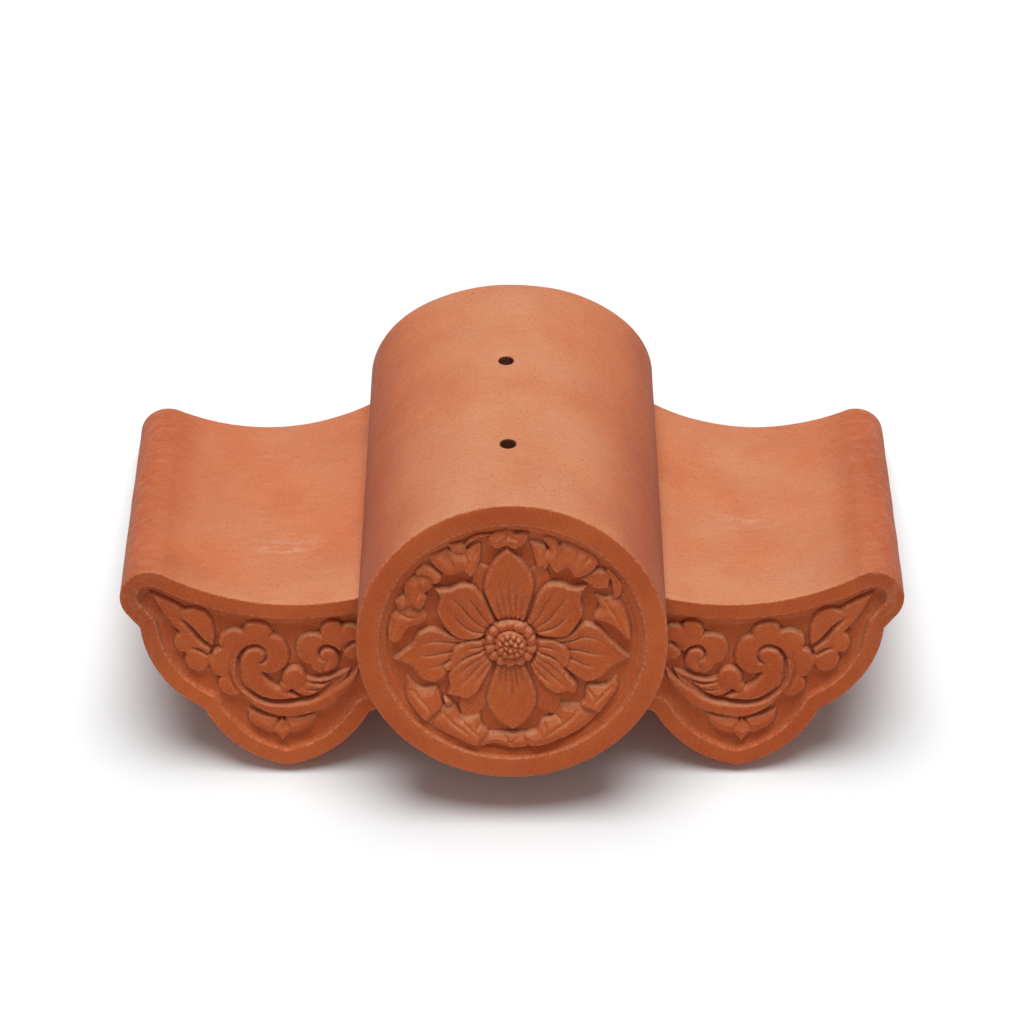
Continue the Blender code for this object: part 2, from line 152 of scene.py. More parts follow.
def beside(places, path):
    """How far along the path each place lies, 0 to 1, and how far off it, + on its left."""
    lengths = np.abs(np.diff(path))
    gone = np.concatenate(([0], np.cumsum(lengths))) / lengths.sum()
    share = np.zeros(len(places))
    off = np.full(len(places), np.inf)
    for i, length in enumerate(lengths):
        local = (places - path[i]) / (path[i + 1] - path[i])
        along = np.clip(local.real, 0, 1)
        gap = np.abs(local - along) * length
        closer = gap < np.abs(off)
        off[closer] = np.copysign(gap, local.imag)[closer]
        share[closer] = (gone[i] + along * (gone[i + 1] - gone[i]))[closer]
    return share, off


def depth_inside(places, outline):
    """How far inside a closed outline each place lies, negative outside."""
    ends = np.roll(outline, -1)
    nearest = np.full(len(places), np.inf)
    inside = np.zeros(len(places), bool)
    for a, b in zip(outline, ends):
        local = (places - a) / (b - a)
        nearest = np.minimum(nearest, np.abs(local - np.clip(local.real, 0, 1)) * abs(b - a))
        if abs(b.imag - a.imag) > 0:
            level = (places.imag - a.imag) / (b.imag - a.imag)
            spans = (a.imag > places.imag) ^ (b.imag > places.imag)
            inside ^= spans & (places.real < a.real + level * (b.real - a.real))
    return np.where(inside, nearest, -nearest)


print("depths inside a unit circle:", depth_inside(np.array([0, 0.5, 1.5]), around(60)).round(2))

# %% [markdown]
# ## Laying clay on a face
# A pressed ornament has rounded edges, and a thin sunk line where one leaf overlaps another.
# Both come from one number, the distance inside the shape's outline: the body rises over the
# first millimetre or two inside it, and the ground is sunk over the first one outside it.

# %% Lay raised shapes and cut grooves
BODY_EDGE = 1.2
SUNK_LINE = 0.6
SUNK_WIDTH = 1.1
FULL_GROUND = 1.5   # ground at least this high takes the whole sunk line
HAND_WANDER = 0.3   # how far a hand-cut line strays
PITCH_REACH = 4     # a pitched shape rises no further in than this
KEEL_WIDTH = 0.6
NOTCH_WIDTH = 0.8
FADING = ((0, 1), (1, 0))


class Relief:
    """Clay over a flat field: a height in millimetres for each place."""

    def __init__(self, places):
        x, z = places.real, places.imag
        self.places = places + HAND_WANDER * (np.sin(z / 3.1 + 1.5 * np.sin(x / 7)) +
                                              1j * np.sin(x / 3.7 + 1.5 * np.sin(z / 6)))
        self.height = np.zeros(len(places))

    def near(self, path, reach):
        """Which places lie within reach of the box round a path."""
        box = (self.places.real > path.real.min() - reach) & (self.places.real < path.real.max() + reach)
        box &= (self.places.imag > path.imag.min() - reach) & (self.places.imag < path.imag.max() + reach)
        return np.flatnonzero(box)

    def lay(self, chosen, inside, rise, edge=BODY_EDGE, sunk=SUNK_LINE):
        """Raise the chosen places to rise where they lie inside an outline."""
        ground = self.height[chosen]
        outside = np.clip(-inside, 0, None)
        ground = ground - (sunk * np.exp(-(outside / SUNK_WIDTH) ** 2)
                           * np.clip(ground / FULL_GROUND, 0, 1))
        body = np.sqrt(1 - (1 - np.clip(inside / edge, 0, 1)) ** 2)
        self.height[chosen] = ground + (rise - ground) * body

    def shape(self, outline, rise, edge=BODY_EDGE, pitch=0.0, tilt=0.0, sunk=SUNK_LINE, grown=0.0):
        """A shape in a closed outline, pitched like a roof and tilted to rise one way."""
        outline = np.asarray(outline)
        chosen = self.near(outline, 3 * SUNK_WIDTH)
        places = self.places[chosen]
        inside = depth_inside(places, outline) + grown
        slant = ((places - outline.mean()) * np.conj(tilt)).real
        self.lay(chosen, inside, rise + pitch * np.clip(inside, 0, PITCH_REACH) + slant, edge, sunk)

    def leaf(self, path, width, rise, keys=((0, 0.35), (0.35, 1), (0.75, 0.6), (1, 0)), keel=0.0,
             edge=BODY_EDGE, sunk=SUNK_LINE):
        """A leaf along a path, from base to tip, with an optional groove down its middle."""
        path = np.asarray(path)
        chosen = self.near(path, width + 3 * SUNK_WIDTH)
        share, off = beside(self.places[chosen], path)
        half = width * eased(share, keys)
        self.lay(chosen, half - np.abs(off), rise - keel * np.exp(-(off / KEEL_WIDTH) ** 2), edge, sunk)

    def cloud(self, circles, rise, edge=BODY_EDGE, swell=0.5, sunk=SUNK_LINE):
        """One body with a scalloped edge, from (middle, radius) circles."""
        middles = np.array([middle for middle, _ in circles])
        chosen = self.near(middles, max(radius for _, radius in circles) + 3 * SUNK_WIDTH)
        inside = [radius - np.abs(self.places[chosen] - middle) for middle, radius in circles]
        share = [depth / radius for depth, (_, radius) in zip(inside, circles)]
        self.lay(chosen, np.max(inside, axis=0), rise + swell * (np.max(share, axis=0) - 0.5), edge,
                 sunk)

    def groove(self, path, depth, width, keys=((0, 0.4), (0.15, 1), (0.8, 1), (1, 0.2))):
        path = np.asarray(path)
        chosen = self.near(path, 3 * width)
        share, off = beside(self.places[chosen], path)
        self.height[chosen] -= depth * eased(share, keys) * np.exp(-(off / width) ** 2)

    def notches(self, ends, depth):
        """Short straight cuts between the lobes of a cloud, which fade out inward."""
        for outer, inner in ends:
            self.groove(np.array([outer, inner]), depth, NOTCH_WIDTH, FADING)


print("relief tools: shape, leaf, cloud, groove and notches")

# %% [markdown]
# ## The end disc
# The cap tile's front is a round medallion: a flat rim, a stepped recess, and in it an open
# flower with eight petals round a beaded seed head, inside a loose wreath of torn leaves. The
# flower is an old roof ornament. Its petals differ a little, as they would in a hand-cut
# mould: each has its own direction, reach and width, and they are laid from the back layer
# forward so that each overlaps the one before.

# %% Set out the flower
DISC_RADIUS = 70
DISC_THICKNESS = 18
RIM_WIDTH = 10
FIELD_DEPTH = 5.0
FLOWER_MIDDLE = -0.6 - 0.9j
PETAL_EDGE = 1.7
PETAL_HOLLOW = -0.12      # how a petal's face falls for each mm in from its edge
VEIN_TROUGH = (0.3, 1.6)  # depth and half width of the soft trough along a vein
VEIN_CUT = (0.6, 0.55)    # and of the cut at its bottom
BLADE_RISE = 1.7
LOBE_RISE = 3.9
LOBES_BEFORE = 6  # the curled lobes go on before this petal, the first of the two lower corners
# The back layer, four plain blades: direction in degrees from the right, reach, half width.
BLADES = ((110, 43, 8), (70, 43, 8), (-119, 45, 8), (-61, 44, 8))
# The side petals, with two lobes curled over them, then the upright ones and the four corners.
# Each petal has its left and right edges as seen from the heart, its rise, and its veins as
# (share of the way from the left edge to the right one, share of the petal's length).
PETALS = (
    ((-11 - 6j, -20 - 12j, -28.5 - 17.5j, -35 - 21.5j, -40.5 - 19j, -45 - 13.5j, -54 - 9.2j),
     (-11 + 1j, -20 + 1.6j, -29 + 4j, -36.5 + 6.4j, -41.5 + 4.8j, -45 - 1j, -54 - 9.2j),
     3.2, ((0.3, 0.62), (0.52, 0.74), (0.76, 0.64))),
    ((11 + 1j, 20 + 1.6j, 26.5 + 4.6j, 33 + 9j, 39 + 7.2j, 44 + 1.4j, 53.2 - 8j),
     (10 - 6j, 20 - 12j, 28 - 17.3j, 33 - 21.2j, 39.5 - 19.8j, 45 - 14j, 53.2 - 8j),
     3.2, ((0.24, 0.64), (0.48, 0.74), (0.7, 0.62))),
    ((-5 + 8j, -9.8 + 16.7j, -12.3 + 25j, -12 + 32j, -9.6 + 39j, -2 + 48j),
     (4.5 + 8j, 7.5 + 16.7j, 9.6 + 25j, 9.4 + 32j, 6.6 + 39j, -2 + 48j),
     3.5, ((0.2, 0.42), (0.35, 0.54), (0.5, 0.66), (0.65, 0.54), (0.8, 0.42))),
    ((5 - 10j, 9 - 19j, 11 - 27.5j, 10.4 - 35j, 7 - 40.7j, 0.3 - 46.6j),
     (-6 - 10j, -9.4 - 19j, -11.2 - 27.5j, -10.8 - 34.4j, -7.6 - 40j, 0.3 - 46.6j),
     3.5, ((0.22, 0.36), (0.36, 0.42), (0.5, 0.66), (0.64, 0.42), (0.78, 0.36))),
    ((-10 + 3j, -18 + 0.8j, -25.6 + 2.7j, -31 + 8j, -33.9 + 15j, -32.4 + 22.3j, -35.2 + 27.8j),
     (-5.5 + 7j, -10 + 15.7j, -13.4 + 24j, -17.4 + 28.8j, -22.5 + 29.2j, -29 + 26.7j, -35.2 + 27.8j),
     3.9, ((0.3, 0.58), (0.52, 0.8), (0.74, 0.62))),
    ((4.8 + 7j, 8.8 + 15.7j, 11.6 + 24.6j, 15.6 + 29.4j, 20.5 + 30j, 27.5 + 27.6j, 33.9 + 29j),
     (9.5 + 3.5j, 17.5 + 1.8j, 24.7 + 3j, 29.6 + 8j, 32.2 + 14.5j, 30.9 + 21.5j, 33.9 + 29j),
     3.9, ((0.26, 0.62), (0.48, 0.8), (0.7, 0.58))),
    ((-8 - 11j, -12.4 - 19.3j, -15.6 - 26j, -19.5 - 29.2j, -24.5 - 28.2j, -30 - 27.2j),
     (-11 - 4j, -18 - 7.4j, -25 - 12.5j, -28.8 - 18j, -28.2 - 22.4j, -30 - 27.2j),
     4.0, ((0.25, 0.5), (0.5, 0.68), (0.76, 0.6))),
    ((10.5 - 4.5j, 17 - 8j, 23 - 13j, 26.6 - 18.4j, 29.4 - 22.5j, 29.2 - 27.2j),
     (8 - 12j, 11.6 - 19j, 16 - 24.6j, 20.5 - 26.8j, 24.4 - 25.6j, 29.2 - 27.2j),
     4.0, ((0.24, 0.66), (0.5, 0.7), (0.76, 0.52))),
)
CURLED_LOBES = (
    (-10 + 0.5j, -18.4 + 0.9j, -23.4 - 1.2j, -26.8 - 5j, -28 - 9.5j, -31 - 13.6j, -27 - 15.5j, -18 - 9j,
     -10 - 5j),
    (10 + 0.5j, 17 + 1j, 21.4 - 0.8j, 24.8 - 4j, 26.2 - 8.5j, 24.4 - 13.5j, 17 - 9j, 10 - 5j),
)
CURL_VEINS = ((-12 - 2.1j, -16 - 2.4j, -20.5 - 3.4j), (12 - 2j, 15.5 - 2.5j, 19.5 - 4.4j),
              (-12 - 4.6j, -18 - 6.6j, -24 - 10.4j), (11.5 - 4.8j, 16.5 - 7j, 21 - 10.4j))

print(len(PETALS), "petals over", len(BLADES), "plain blades")

# %% Lay the flower


def petal(relief, left, right, rise, veins):
    """One petal, a little hollow across, with thin veins that fan out from the heart."""
    left, right = through(*left), through(*right)
    relief.shape(np.concatenate((left, right[-2::-1])), rise + 0.25, PETAL_EDGE, PETAL_HOLLOW)
    for place, end in veins:
        vein = (left * (1 - place) + right * place)[:round(40 * end)]
        relief.groove(vein, *VEIN_TROUGH)
        relief.groove(vein, *VEIN_CUT)


def flower(relief):
    for degrees, reach, width in BLADES:
        relief.leaf(FLOWER_MIDDLE + polar(np.linspace(6, reach, 30), degrees), width, BLADE_RISE,
                    ((0, 0.5), (0.6, 1), (0.85, 0.62), (1, 0)), keel=0.3, edge=1.6)
    for order, values in enumerate(PETALS):
        if order == LOBES_BEFORE:
            for lobe in CURLED_LOBES:
                relief.shape(rounded(lobe, 80), LOBE_RISE, PETAL_EDGE)
            for vein in CURL_VEINS:
                relief.groove(through(*vein), 0.7, 0.6)
        petal(relief, *values)


print("veins in the petals:", sum(len(veins) for *_, veins in PETALS))

# %% Set out the seed head
RING_RADIUS, RING_RISE = 12.0, 3.6
BEADS, BEAD_CIRCLE, BEAD_RISE = 14, 9.3, 5.1
BEAD_LENGTH, BEAD_WIDTH = 2.6, 2.3  # half of each; the upper beads are up to BEAD_SPREAD wider
BEAD_SPREAD = 0.5
DOME_RADIUS, DOME_FOOT, DOME_RISE = 7.4, 4.2, 7.6
SEED_RINGS = ((11, 5.0, 1.25), (6, 2.6, 1.15))  # how many seeds, on what circle, and how large
SEED_RISE = 0.55
PIT_DEPTH, PIT_RADIUS = 2.2, 0.85


def seed_head(relief):
    """A beaded ring round a high dome of seeds, with a small hole at its top."""
    middle = FLOWER_MIDDLE
    chosen = relief.near(np.array([middle]), RING_RADIUS + 3 * SUNK_WIDTH)
    gap = np.abs(relief.places[chosen] - middle)
    relief.lay(chosen, RING_RADIUS - gap, RING_RISE, edge=1.4, sunk=1.2)
    for i in range(BEADS):
        degrees = 90 + 360 * i / BEADS
        local = (relief.places[chosen] - middle - polar(BEAD_CIRCLE, degrees)) / polar(1, degrees)
        wide = BEAD_WIDTH + BEAD_SPREAD * max(math.sin(math.radians(degrees)), 0)
        inside = 2 * (1 - np.hypot(local.real / BEAD_LENGTH, local.imag / wide))
        relief.lay(chosen, inside, BEAD_RISE, edge=1.8, sunk=0.5)
    dome = DOME_FOOT + (DOME_RISE - DOME_FOOT) * np.sqrt(np.clip(1 - (gap / DOME_RADIUS) ** 2, 0, 1))
    relief.lay(chosen, DOME_RADIUS - gap, dome, edge=0.8, sunk=0.35)
    for count, radius, size in SEED_RINGS:
        for i in range(count):
            spot = middle + polar(radius, 360 * i / count + 8 * radius)
            inside = size - np.abs(relief.places[chosen] - spot)
            relief.lay(chosen, inside, relief.height[chosen] + SEED_RISE, edge=1.1, sunk=0.6)
    relief.height[chosen] -= PIT_DEPTH * np.exp(-(gap / PIT_RADIUS) ** 2)


print("seeds on the dome:", sum(count for count, _, _ in SEED_RINGS))

# %% [markdown]
# ### The wreath
# The wreath is a loose garland of torn, pointed leaves. Its upper half is broken into clusters
# with gaps between them, and its lower half runs on as two toothed branches that meet under the
# flower. Each leaf is an outline of straight cuts, pitched like a roof over it, and lower at
# its upper edge so that its face turns to the sky.

# %% Set out the wreath
WREATH_RISE = 2.9
WREATH_PITCH = 0.34
WREATH_TILT = -0.17j
LEAF_GROWN = 1.1  # the leaves' cut edges stand this far outside their outlines
ROUNDNESS = 0.6   # share of a smooth curve in a cut outline
TORN_LEAVES = (
    # the palmette over the flower
    (-2.2 + 57.8j, 0.6 + 54.2j, 6.6 + 54.4j, 5.4 + 51.4j, 1 + 48.2j, -2.4 + 49.6j, -7 + 48.2j, -9.8 + 51.8j,
     -6.6 + 55.2j),
    # the upper left: a tooth, a wide leaf, a finger, and the leaves on down the side
    (-28 + 49.4j, -21.6 + 48.8j, -20.8 + 45j, -25.4 + 45j),
    (-30.4 + 45.4j, -20.9 + 44.8j, -14.4 + 48.8j, -16.9 + 36.4j, -18.2 + 34.4j, -22.4 + 37.8j, -25.4 + 35j),
    (-37 + 44.2j, -30.4 + 44.2j, -26.4 + 38.4j, -26.4 + 34.9j, -28.4 + 34.7j, -33.4 + 38.4j),
    (-39.2 + 38.6j, -32 + 33j, -33.4 + 30.8j, -37 + 30.6j, -42.8 + 34.8j),
    (-47 + 29.8j, -42.4 + 32.6j, -38.4 + 33.8j, -36.2 + 28.4j, -39.8 + 25j, -38.6 + 22.6j, -41.4 + 17.8j,
     -45 + 18.6j, -46.8 + 23j),
    (-52 + 20.4j, -47.4 + 21.9j, -46.2 + 18.4j, -50.2 + 15.8j),
    (-53.4 + 12.4j, -50.4 + 15.4j, -43.4 + 17.6j, -41.2 + 16.2j, -38.8 + 12.4j, -41 + 10.2j, -46 + 8.8j,
     -49.2 + 4.6j, -51.8 + 0.8j, -54.4 + 1j),
    # the upper right: a blade, a wide torn leaf, a bud, and the leaf down the side
    (8.4 + 49.6j, 13.8 + 47.2j, 16.4 + 41j, 13.2 + 35.8j, 11.4 + 41j),
    (14.2 + 51.8j, 18 + 52.2j, 21 + 47.4j, 23.4 + 48.2j, 21.8 + 39.8j, 20.1 + 35.7j, 17.6 + 40.2j,
     15.6 + 42.6j, 17.4 + 46.4j),
    (22.4 + 48.9j, 27.4 + 49.4j, 30.4 + 46.2j, 34.2 + 45j, 37.4 + 40j, 35.6 + 37j, 28.2 + 34.4j, 25 + 38.9j,
     20.6 + 37j),
    (37.6 + 23.2j, 41.4 + 20.9j, 47.2 + 21j, 49.4 + 17.8j, 50.8 + 11.4j, 52.6 + 2.8j, 48.2 + 7.4j,
     44.6 + 10.2j, 37.2 + 12.2j, 39.9 + 17j),
    # the lower left branch, from its upper end down to the middle
    (-47.4 - 19.4j, -44.2 - 23.6j, -39.8 - 25.6j, -34.8 - 24.6j, -33.4 - 29.2j, -32.6 - 36.2j, -37.6 - 40.4j,
     -43.2 - 34.8j, -47.4 - 27.4j),
    (-32.6 - 36.2j, -26.2 - 33.8j, -23.6 - 39.6j, -15.8 - 37.6j, -14.8 - 43j, -10.6 - 48.6j, -14.8 - 53.2j,
     -21.8 - 50.9j, -31 - 46j, -37.8 - 40.6j),
    (-10.6 - 48.4j, -0.1 - 49j, 6.4 - 48.8j, 8.6 - 52.6j, -0.1 - 54.6j, -8.4 - 52.4j, -14.4 - 53.2j),
    # the lower right branch
    (47 - 19.6j, 42 - 24.2j, 37.8 - 24.2j, 34.8 - 23.6j, 33.9 - 31j, 31.4 - 34j, 38.2 - 37j, 43.9 - 29.2j,
     47.2 - 22.6j),
    (31.4 - 34j, 22 - 33.6j, 20.7 - 38.8j, 18 - 41.2j, 14.6 - 41.6j, 11.3 - 46.6j, 6.4 - 48.8j, 8.6 - 52.6j,
     23.4 - 49.5j, 30.9 - 44.6j, 38.2 - 37j),
)
# Creases in the leaves.
FOLDS = (
    (-2.2 + 56.4j, -2.4 + 53.6j, -7 + 49.6j), (-2.2 + 53.8j, 3.4 + 51.6j),
    (-20.6 + 44.4j, -19.4 + 40.4j, -21.4 + 37.4j), (-15 + 47j, -17.6 + 42j),
    (29.8 + 46.2j, 28.6 + 41.4j, 29.6 + 37j), (34.6 + 43.4j, 31.6 + 39.6j),
    (-42.6 + 31.4j, -41 + 26.4j, -43.4 + 20.4j), (-50 + 14.2j, -45.4 + 12.6j, -41.6 + 13.4j),
    (41.6 + 20j, 45.4 + 14.4j, 50.6 + 6j), (-45.4 - 24.8j, -40.6 - 30.4j, -35.8 - 36.4j),
    (-30.6 - 37.6j, -26 - 43j, -18.4 - 48.6j), (-23.8 - 40j, -19.6 - 44.4j, -13.6 - 49.2j),
    (-15 - 42.6j, -16.4 - 46.4j), (44.6 - 23.6j, 39.6 - 29.4j, 35.4 - 34.6j),
    (29.4 - 36j, 24.6 - 41.6j, 14.6 - 48.4j), (20.8 - 38.8j, 22.4 - 42.4j), (34.6 - 25j, 37.6 - 29.4j),
    (14.8 - 42j, 15.4 - 46.6j), (-3 - 49.4j, -0.4 - 52.4j, 3 - 49.4j),
)
# Rounder leaves and stalks under them, each along a path with its half width.
FINGERS = (
    ((-9.6 + 53.6j, -15.8 + 53.4j, -19.6 + 50.2j, -20.8 + 47.2j), 1.2),
    ((33.4 + 32.6j, 38 + 32j, 42.6 + 27.8j), 4.2),
    ((42.6 + 36j, 46.4 + 30.2j, 47.2 + 25j, 45.4 + 20.6j), 2.2),
    ((-30.6 - 30.4j, -28.6 - 32.4j, -27.4 - 34.2j), 1.8),
)

print(len(TORN_LEAVES), "torn leaves,", len(FINGERS), "rounder ones and", len(FOLDS), "creases")

# %% Lay the wreath


def cut(corners):
    """A closed outline between straight cuts and a smooth curve, as a knife leaves damp clay."""
    ring = np.array([*corners, corners[0]])
    gone = np.concatenate(([0], np.cumsum(np.abs(np.diff(ring)))))
    at = np.linspace(0, gone[-1], 6 * len(ring))[:-1]
    return ROUNDNESS * eased(at, list(zip(gone, ring))) + (1 - ROUNDNESS) * np.interp(at, gone, ring)


def wreath(relief):
    for places, width in FINGERS:
        relief.leaf(through(*places), width, WREATH_RISE + 0.5, ((0, 0.5), (0.3, 1), (0.75, 0.95), (1, 0.3)),
                    edge=1.4)
    for leaf in TORN_LEAVES:
        relief.shape(cut(leaf), WREATH_RISE, 1.2, WREATH_PITCH, WREATH_TILT, 0.5, LEAF_GROWN)
    for fold in FOLDS:
        relief.groove(through(*fold), 0.8, 0.75, ((0, 0.6), (0.3, 1), (1, 0.2)))


print("points in a leaf cut from", len(TORN_LEAVES[1]), "corners:", len(cut(TORN_LEAVES[1])))

# %% Shape the disc's recess
# Radius and depth at each step from the field out to the rim.
RECESS_STEPS = ((0, FIELD_DEPTH), (50, FIELD_DEPTH), (55.4, 4.3), (56.6, 3.3), (57.2, 2.9), (59.3, 2.3),
                (59.8, 0.4), (60.4, 0), (DISC_RADIUS, 0))
WREATH_LIMIT, WREATH_FADE = 58.5, 1.6  # the relief fades out before the recess's upper step


def stood(ground, floor, height):
    """Depth of a face whose relief stands on a flat floor, where the ground climbs to the rim."""
    return np.where(height > 0, np.minimum(ground, floor - height), ground - height)


def disc_depth(places):
    """How deep the disc's face lies behind its rim at each place, relief and all."""
    radius, depth = np.array(RECESS_STEPS).T
    relief = Relief(places)
    wreath(relief)
    flower(relief)
    seed_head(relief)
    fade = np.clip((WREATH_LIMIT - np.abs(places)) / WREATH_FADE, 0, 1)
    return stood(np.interp(np.abs(places), radius, depth), FIELD_DEPTH, relief.height * fade)


print("the disc's face at its middle and near its rim, in mm behind the rim:",
      disc_depth(np.array([FLOWER_MIDDLE, 58])).round(2))

# %% [markdown]
# ## Turning places into clay
# A face with relief needs small, even triangles all over. A hexagonal lattice of places, clipped
# to the face's outline and joined by Delaunay triangles, gives that for any outline. The sides
# of a tile are lofted through rings of points. The sheets share their edge points, so welding
# them leaves one closed body, as a fired tile is.

# %% Fill an outline with even triangles


def fill(outline, spacing, lines=()):
    """Even triangles inside an outline, with corners on the extra lines too."""
    low = complex(outline.real.min(), outline.imag.min())
    high = complex(outline.real.max(), outline.imag.max())
    rows = np.arange(low.imag, high.imag, spacing * math.sqrt(3) / 2)
    lattice = np.arange(low.real, high.real, spacing)[None, :] + 1j * rows[:, None]
    lattice[1::2] += spacing / 2
    lattice = lattice.ravel()
    lattice = lattice[depth_inside(lattice, outline) > 0.55 * spacing]
    for line in lines:
        lattice = lattice[spread(lattice, line) > 0.5 * spacing]
        lattice = np.concatenate((lattice, line))
    places = np.concatenate((outline, lattice))
    count = len(outline)
    verts, _, faces, *_ = delaunay_2d_cdt([Vector((p.real, p.imag)) for p in places],
                                          [(i, (i + 1) % count) for i in range(count)], [], 1, 1e-7)
    return np.array([complex(*v) for v in verts]), [tuple(f) for f in faces]


def spread(places, line):
    """Distance from each place to the nearest point of a dense line."""
    cell = 2.0
    gap = np.full(len(places), np.inf)
    home = np.floor(places.real / cell) + 1j * np.floor(places.imag / cell)
    keys = np.floor(line.real / cell) + 1j * np.floor(line.imag / cell)
    for key in np.unique(keys):
        close = np.abs(home - key) < 1.5
        some = line[keys == key]
        gap[close] = np.minimum(gap[close], np.abs(places[close][:, None] - some[None, :]).min(axis=1))
    return gap


print("triangles in a unit circle filled at 0.2:", len(fill(around(30), 0.2)[1]))

# %% Loft rings and weld the sheets


def loft(rings, closed=True):
    """Four-sided faces between rings of equal length."""
    count = len(rings[0])
    faces = []
    for r in range(len(rings) - 1):
        for i in range(count if closed else count - 1):
            j = (i + 1) % count
            faces.append((r * count + i, r * count + j, (r + 1) * count + j, (r + 1) * count + i))
    return np.concatenate(rings), faces


def upright(places, y):
    """Places on a face as points of the roof's frame."""
    return np.stack((places.real, np.broadcast_to(y, places.shape), places.imag), axis=1)


def flattened(points):
    """Points of the roof's frame as places on a face."""
    return points[:, 0] + 1j * points[:, 2]


def weld(name, sheets):
    """One closed mesh from sheets of points in the roof's frame, in millimetres."""
    faces, start = [], 0
    for points, polygons in sheets:
        faces += [tuple(start + i for i in polygon) for polygon in polygons]
        start += len(points)
    mesh = bpy.data.meshes.new(name)
    mesh.from_pydata(np.concatenate([points for points, _ in sheets]), [], faces)
    bm = bmesh.new()
    bm.from_mesh(mesh)
    bmesh.ops.remove_doubles(bm, verts=bm.verts, dist=0.001)
    bmesh.ops.recalc_face_normals(bm, faces=bm.faces)
    open_edges = sum(not e.is_manifold for e in bm.edges)
    bm.to_mesh(mesh)
    bm.free()
    print(f"{name}: {len(mesh.polygons)} faces, {open_edges} open edges")
    piece = bpy.data.objects.new(name, mesh)
    bpy.context.scene.collection.objects.link(piece)
    return piece


print("faces between two squares:", len(loft([around(4), 2 * around(4)])[1]))

# %% [markdown]
# ## The pan's section
# A drip tile is a shallow pan. Its cross section is a hollow arc with a round lip on each side,
# and it turns and widens a little from front to back. The cap tile's edges rest on these pans,
# so the section comes before either tile.

# %% Work out the pan's section
FACE_FRONT = 31
FACE_THICKNESS = 13
PAN_BACK = 235
PAN_THICKNESS = 17
PAN_HALF_WIDTH = 76
LIP_RADIUS = 14
PAN_CENTRE = (102.5, 110)   # at the front and at the back, as in the pairs below
PAN_TROUGH = (3.3, -6.7)
PAN_HOLLOW = (120, 110)
PAN_ROLL = (-1.5, 6.5)
NECK_DEGREES = -41


def between(pair, share):
    return pair[0] + (pair[1] - pair[0]) * share


def pan_share(y):
    return min(max((y - FACE_FRONT) / (PAN_BACK - FACE_FRONT), 0), 1)


def pan_place(y, places):
    """Places across a tile, from the trough's middle, as x + 1j * z in the roof's frame."""
    share = pan_share(y)
    return (between(PAN_CENTRE, share) + 1j * between(PAN_TROUGH, share)
            + places * polar(1, -between(PAN_ROLL, share)))


def pan_top(x, y):
    """Height of the pan's hollow face at a distance x from the set's middle."""
    radius = between(PAN_HOLLOW, pan_share(y))
    middle = pan_place(y, 1j * radius)
    return middle.imag - math.sqrt(radius ** 2 - (x - middle.real) ** 2)


print("the pan's face under the barrel's edge is at", round(pan_top(70, 100), 2))

# %% [markdown]
# ## The cap tile
# Behind the disc runs a half-round barrel, open below. Its section starts as a true half circle
# and ends as an arch on short straight feet, a little lower and wider in the shoulders. One
# number describes both: the share of the height that the feet take up. The disc's face is the
# only part that needs a fine lattice. The rest is lofted.

# %% Work out the barrel's section
BARREL_WALL = 12.5
BARREL_CROWN_DROP = 1.4
BARREL_STILT = (0.0, 0.275)  # the arch's straight feet as a share of its height, front and back
TILE_GAP = 0.3
EDGE_ROUND = 0.8
OUTER_STEPS = 400
INNER_STEPS = 150
LOWER_STEPS = 330


def arch_width(height, stilt):
    """Half the width of an arch on straight feet, at a height. At its feet and crown it is 1."""
    return math.sqrt(1 - (max(0.0, height - stilt) / (1 - stilt)) ** 2)


def arch_reach(angle, stilt):
    """How far the same arch reaches from the middle of its base at each angle."""
    across, up = np.abs(np.cos(angle)), np.sin(angle)
    square, lean = (across * (1 - stilt)) ** 2 + up ** 2, up * stilt
    curved = (lean + np.sqrt(lean ** 2 + square * (1 - 2 * stilt))) / square
    return np.where(up <= stilt * across, 1 / np.maximum(across, 1e-6), curved)


def barrel_edge(y, wall):
    """How high the barrel's face lies where it meets the pans."""
    share = y / BARREL_LENGTH
    wide, tall = DISC_RADIUS - wall, DISC_RADIUS - BARREL_CROWN_DROP * share - wall
    x = wide
    for _ in range(4):
        z = pan_top(x, y) + TILE_GAP
        x = wide * arch_width(z / tall, between(BARREL_STILT, share))
    return z


def barrel_arch(y, wall, count, lift=0.0):
    """The barrel's face at y, wall inside its outer face, from the right edge to the left."""
    share = (y - DISC_THICKNESS) / (BARREL_LENGTH - DISC_THICKNESS)
    wide, tall = DISC_RADIUS - wall, DISC_RADIUS - BARREL_CROWN_DROP * share - wall
    stilt = between(BARREL_STILT, share)
    foot = (barrel_edge(y, wall) + lift) / tall
    start = math.atan2(foot, arch_width(foot, stilt))
    angle = np.linspace(start, math.pi - start, count + 1)
    reach = arch_reach(angle, stilt)
    return upright(wide * reach * np.cos(angle) + 1j * tall * reach * np.sin(angle), y)


def barrel_ring(y, inset=0.0):
    outer = barrel_arch(y, inset, OUTER_STEPS, inset)
    inner = barrel_arch(y, BARREL_WALL - inset, INNER_STEPS, inset)
    return np.concatenate((outer, inner[::-1]))


print("the barrel's outer edge behind the disc is at", round(barrel_edge(DISC_THICKNESS, 0), 2))

# %% Build the cap tile's sheets
FACE_SPACING = 0.46
PLAIN_SPACING = 6
ROUNDING = np.radians((0, 22.5, 45, 67.5, 90))
BARREL_STATIONS = 26
RIM_RINGS = (64, 67)     # rings of points between the disc's recess and its edge
SIDE_RINGS = (5.0, 11.0)  # and down its side


